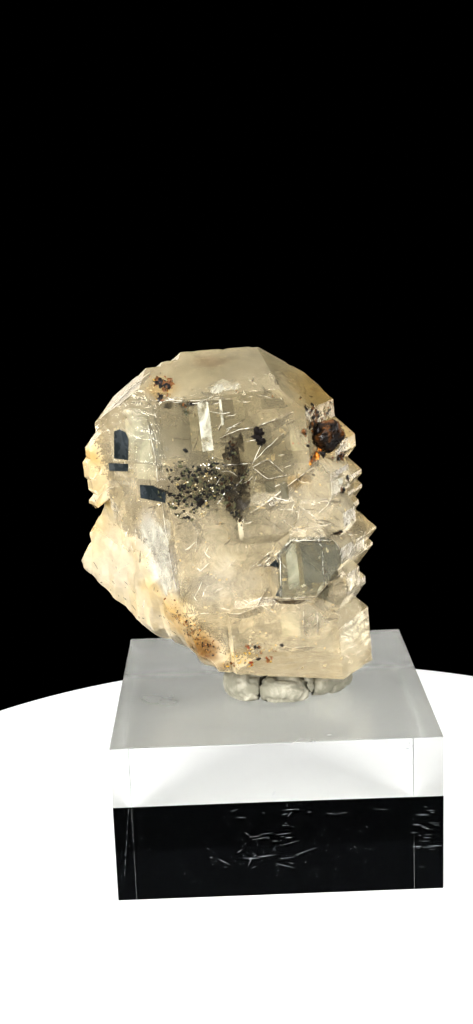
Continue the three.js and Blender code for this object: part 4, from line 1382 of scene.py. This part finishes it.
class SPECIMEN_OT_block(bpy.types.Operator):
    """Builds the polished acrylic block"""

    bl_idname = "specimen.block"
    bl_label = "Acrylic block"

    def execute(self, context):
        settings = context.scene.specimen.block
        size = np.array([BLOCK_SIDE, BLOCK_SIDE, BLOCK_TOP]) * MM
        bm = bmesh.new()
        bmesh.ops.create_cube(bm, size=1.0, matrix=Matrix.Diagonal((*size, 1.0)))
        bmesh.ops.translate(bm, verts=bm.verts, vec=(0.0, 0.0, size[2] / 2))
        mesh = bpy.data.meshes.new("display_block")
        bm.to_mesh(mesh)
        bm.free()
        for name, tint, roughness, scratch in (
            ("polished_acrylic", ACRYLIC_TINT, (settings.polish, 0.012), 400.0),
            ("worn_acrylic", WORN_TINT, (settings.top_wear, 0.30), 70.0),
        ):
            mesh.materials.append(clear_material(name, tint, settings.ior, roughness, scratch))
        upwards = [int(polygon.normal.z > 0.5) for polygon in mesh.polygons]
        mesh.polygons.foreach_set("material_index", upwards)
        piece = finish_piece("display_block", mesh, smooth=False)
        bevel = piece.modifiers.new("arris", "BEVEL")
        bevel.width = settings.arris
        bevel.segments = 3
        bevel.limit_method = "ANGLE"
        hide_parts("acrylic_block")
        wear = mottled_material("block_scratches", SCRATCH_GREY, SCRATCH_WHITE, 900.0, roughness=(0.5, 0.8))
        joined_piece("block_scratches", [scratches(501)], wear)
        return {"FINISHED"}


# The tack

TACK_NODES = ("tack_front", "tack_centre", "tack_left", "tack_roll", "tack_right", "tack_core")
# How the folds' noise is stretched and leans, and how far the sides bulge and folds and dents are pressed in,
# in millimetres
FOLD_LEAN = np.array([[0.6, 0.0, 0.5], [0.0, 0.8, 0.0], [-0.7, 0.0, 1.3]])
BULGE = 0.20
FOLD_DEPTH = 0.30
DENT_DEPTH = 0.14


def pinched(points, normals, seed):
    """How far each point of a pinch of tack moves along its normal, in millimetres: the sides bulge at half
    height by the square of the distance from it, and folds are pressed in where a noise crosses zero."""
    low, high = points[:, 2].min(), points[:, 2].max()
    height = 2 * (points[:, 2] - low) / (high - low) - 1
    bulge = BULGE * (1 - height**2) * smooth_step(0.9, 0.4, np.abs(normals[:, 2]))
    fold = smooth_step(0.12, 0.0, np.abs(layered_noise(points @ FOLD_LEAN, 2.1, seed, 2)))
    dent = smooth_step(-0.2, 0.6, layered_noise(points, 0.9, seed + 40))
    return bulge - FOLD_DEPTH * fold - DENT_DEPTH * dent


class SPECIMEN_OT_tack(bpy.types.Operator):
    """Builds the pinches of mounting tack, with soft edges and creases"""

    bl_idname = "specimen.tack"
    bl_label = "Mounting tack"

    def execute(self, context):
        putty = mottled_material(
            "mounting_tack", TACK_SHADE, TACK_LIGHT, 500.0, roughness=(0.55, 0.8), gloss=0.35
        )
        for index, node in enumerate(TACK_NODES):
            mesh = merged_copy(node, 0.00035)
            mesh.materials.append(putty)
            points, normals, _ = mesh_arrays(mesh)
            move_points(mesh, points, normals, pinched(points, normals, 91 + index))
            piece = finish_piece(node + "_pinch", mesh)
            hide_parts(node)
        return {"FINISHED"}


# The stage

# Lights, in metres: name, place, width and height, the setting that gives the power, and the share of it.
# All of them look at one place.
LIGHT_TARGET = (0.0, 0.0, 0.03)
LIGHTS = (
    ("top_softbox", (0.0, 0.05, 0.40), (0.62, 0.62), "top_light", 1.0),
    ("front_left_softbox", (-0.27, -0.38, 0.17), (0.18, 0.36), "front_light", 1.0),
    ("front_right_softbox", (0.27, -0.37, 0.17), (0.18, 0.36), "front_light", 0.8),
    ("high_front_softbox", (0.0, -0.34, 0.42), (0.40, 0.16), "front_light", 0.5),
    ("low_left_softbox", (-0.30, -0.16, 0.05), (0.16, 0.08), "low_light", 1.0),
    ("low_right_softbox", (0.30, -0.16, 0.05), (0.16, 0.08), "low_light", 0.4),
    ("back_left_softbox", (-0.24, 0.16, 0.14), (0.20, 0.26), "back_light", 1.0),
    ("back_right_softbox", (0.23, 0.22, 0.03), (0.16, 0.18), "back_light", 0.55),
)
# The camera: its place and its three directions, with its lens and sensor in millimetres, the nearest
# distance it sees in metres, and the gamma of the view
CAMERA_PLACE = (-0.0044023, -0.1576065, 0.0798851)
CAMERA_RIGHT = (0.99931018, -0.01393481, -0.03442373)
CAMERA_UP = (0.03673846, 0.2354711, 0.97118672)
CAMERA_FORWARD = (0.00542751, 0.97178145, -0.23582061)
CAMERA_LENS = 46.05
CAMERA_SENSOR = 36.0
CAMERA_NEAR = 0.005
VIEW_GAMMA = 0.7

# The floor, in millimetres: its middle, the flat's first ring, the round of its rim, its thickness, how far
# it lies below the block, and the spokes of its grid
FLOOR_MIDDLE = (1.6, -8.8)
FLOOR_INNER = 2.0
FLOOR_ROUND = 1.5
FLOOR_THICKNESS = 8.0
FLOOR_GAP = 0.06
FLOOR_SPOKES = 160


def area_light(name, place, size, power):
    """A soft rectangular light at a place in metres, turned to the specimen."""
    data = bpy.data.lights.new(name, "AREA")
    data.shape = "RECTANGLE"
    data.size, data.size_y = size
    data.energy = power
    light = bpy.data.objects.new(name, data)
    bpy.context.scene.collection.objects.link(light)
    away = Vector(place) - Vector(LIGHT_TARGET)
    light.location = place
    light.rotation_euler = away.to_track_quat("Z", "Y").to_euler()


def floor_material(colour):
    """A pale satin floor, a little uneven in tint and gloss."""
    material, tree, shader = new_material("pale_floor")
    cloud = ranged(tree, object_noise(tree, 30.0, 3.0), (0.3, 0.7), (0.97, 1.0))
    tint = mixed(tree, 1.0, tuple(colour), grey(tree, cloud), "MULTIPLY")
    tree.links.new(tint, shader.inputs["Base Color"])
    gloss = ranged(tree, object_noise(tree, 400.0), (0.3, 0.7), (0.32, 0.4))
    tree.links.new(gloss, shader.inputs["Roughness"])
    return material


def build_floor(settings):
    """A round plate: a profile with a rounded rim, turned once round the upright axis."""
    rim = settings.floor_radius / MM
    flat = rim - FLOOR_ROUND
    turn = np.linspace(math.pi / 2, 0, 7)[1:]
    profile = np.concatenate(
        [
            np.stack([np.linspace(FLOOR_INNER, flat, 12), np.zeros(12)], 1),
            np.stack([flat + FLOOR_ROUND * np.cos(turn), FLOOR_ROUND * (np.sin(turn) - 1)], 1),
            [(rim, -FLOOR_THICKNESS)],
        ]
    )
    spokes = FLOOR_SPOKES
    angle = np.arange(spokes) * 2 * math.pi / spokes
    reach, height = profile[:, :1], profile[:, 1:]
    ring = np.stack([reach * np.cos(angle), reach * np.sin(angle), height + 0 * angle], -1)
    poles = [(0, 0, 0), (0, 0, -FLOOR_THICKNESS)]
    vertices = np.concatenate([ring.reshape(-1, 3), poles]) + (*FLOOR_MIDDLE, -FLOOR_GAP)
    r, s = np.meshgrid(np.arange(len(profile) - 1), np.arange(spokes), indexing="ij")
    near, far = r * spokes + s, r * spokes + (s + 1) % spokes
    quads = np.stack([near, near + spokes, far + spokes, far], -1).reshape(-1, 4).tolist()
    s = np.arange(spokes)
    last = (len(profile) - 1) * spokes
    top = np.stack([s, (s + 1) % spokes, np.full(spokes, len(vertices) - 2)], 1).tolist()
    low = np.stack([last + (s + 1) % spokes, last + s, np.full(spokes, len(vertices) - 1)], 1).tolist()
    mesh = bpy.data.meshes.new("floor")
    mesh.from_pydata((vertices * MM).tolist(), [], quads + top + low)
    mesh.materials.append(floor_material(settings.floor_colour))
    mesh.polygons.foreach_set("use_smooth", np.full(len(mesh.polygons), True))
    floor = bpy.data.objects.new("floor", mesh)
    bpy.context.scene.collection.objects.link(floor)


class SPECIMEN_OT_stage(bpy.types.Operator):
    """Builds the pale round floor, the studio lights and the camera"""

    bl_idname = "specimen.stage"
    bl_label = "Stage"

    def execute(self, context):
        scene = context.scene
        settings = scene.specimen.stage
        build_floor(settings)
        for name, place, size, setting, share in LIGHTS:
            area_light(name, place, size, getattr(settings, setting) * share)
        world = bpy.data.worlds.new("dark_room")
        world.use_nodes = True
        world.node_tree.nodes["Background"].inputs["Color"].default_value = (0.0, 0.0, 0.0, 1.0)
        scene.world = world
        scene.view_settings.view_transform = "Standard"
        scene.view_settings.gamma = VIEW_GAMMA
        data = bpy.data.cameras.new("camera")
        data.lens = CAMERA_LENS
        data.sensor_width = CAMERA_SENSOR
        data.clip_start = CAMERA_NEAR
        camera = bpy.data.objects.new("camera", data)
        scene.collection.objects.link(camera)
        columns = (CAMERA_RIGHT, CAMERA_UP, tuple(-c for c in CAMERA_FORWARD), CAMERA_PLACE)
        camera.matrix_world = Matrix([[c[i] for c in columns] for i in range(3)] + [[0, 0, 0, 1]])
        scene.camera = camera
        return {"FINISHED"}


class SPECIMEN_PT_panel(bpy.types.Panel):
    """Lists the steps that build the specimen"""

    bl_idname = "SPECIMEN_PT_panel"
    bl_label = "Quartz specimen"
    bl_space_type = "VIEW_3D"
    bl_region_type = "UI"
    bl_category = "Quartz"

    def draw(self, context):
        for operator in OPERATORS:
            self.layout.operator(operator.bl_idname)


SETTINGS = (QuartzSettings, IronSettings, BlockSettings, StageSettings, SpecimenSettings)
OPERATORS = (
    SPECIMEN_OT_quartz,
    SPECIMEN_OT_iron,
    SPECIMEN_OT_inclusions,
    SPECIMEN_OT_cracks,
    SPECIMEN_OT_block,
    SPECIMEN_OT_tack,
    SPECIMEN_OT_stage,
)
CLASSES = (*SETTINGS, *OPERATORS, SPECIMEN_PT_panel)


def register():
    for cls in CLASSES:
        bpy.utils.register_class(cls)
    bpy.types.Scene.specimen = bpy.props.PointerProperty(type=SpecimenSettings)


def unregister():
    del bpy.types.Scene.specimen
    for cls in reversed(CLASSES):
        bpy.utils.unregister_class(cls)


def main():
    """Registers the add-on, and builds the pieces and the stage."""
    register()
    for operator in OPERATORS:
        group, name = operator.bl_idname.split(".")
        getattr(getattr(bpy.ops, group), name)()


if __name__ == "__main__":
    main()
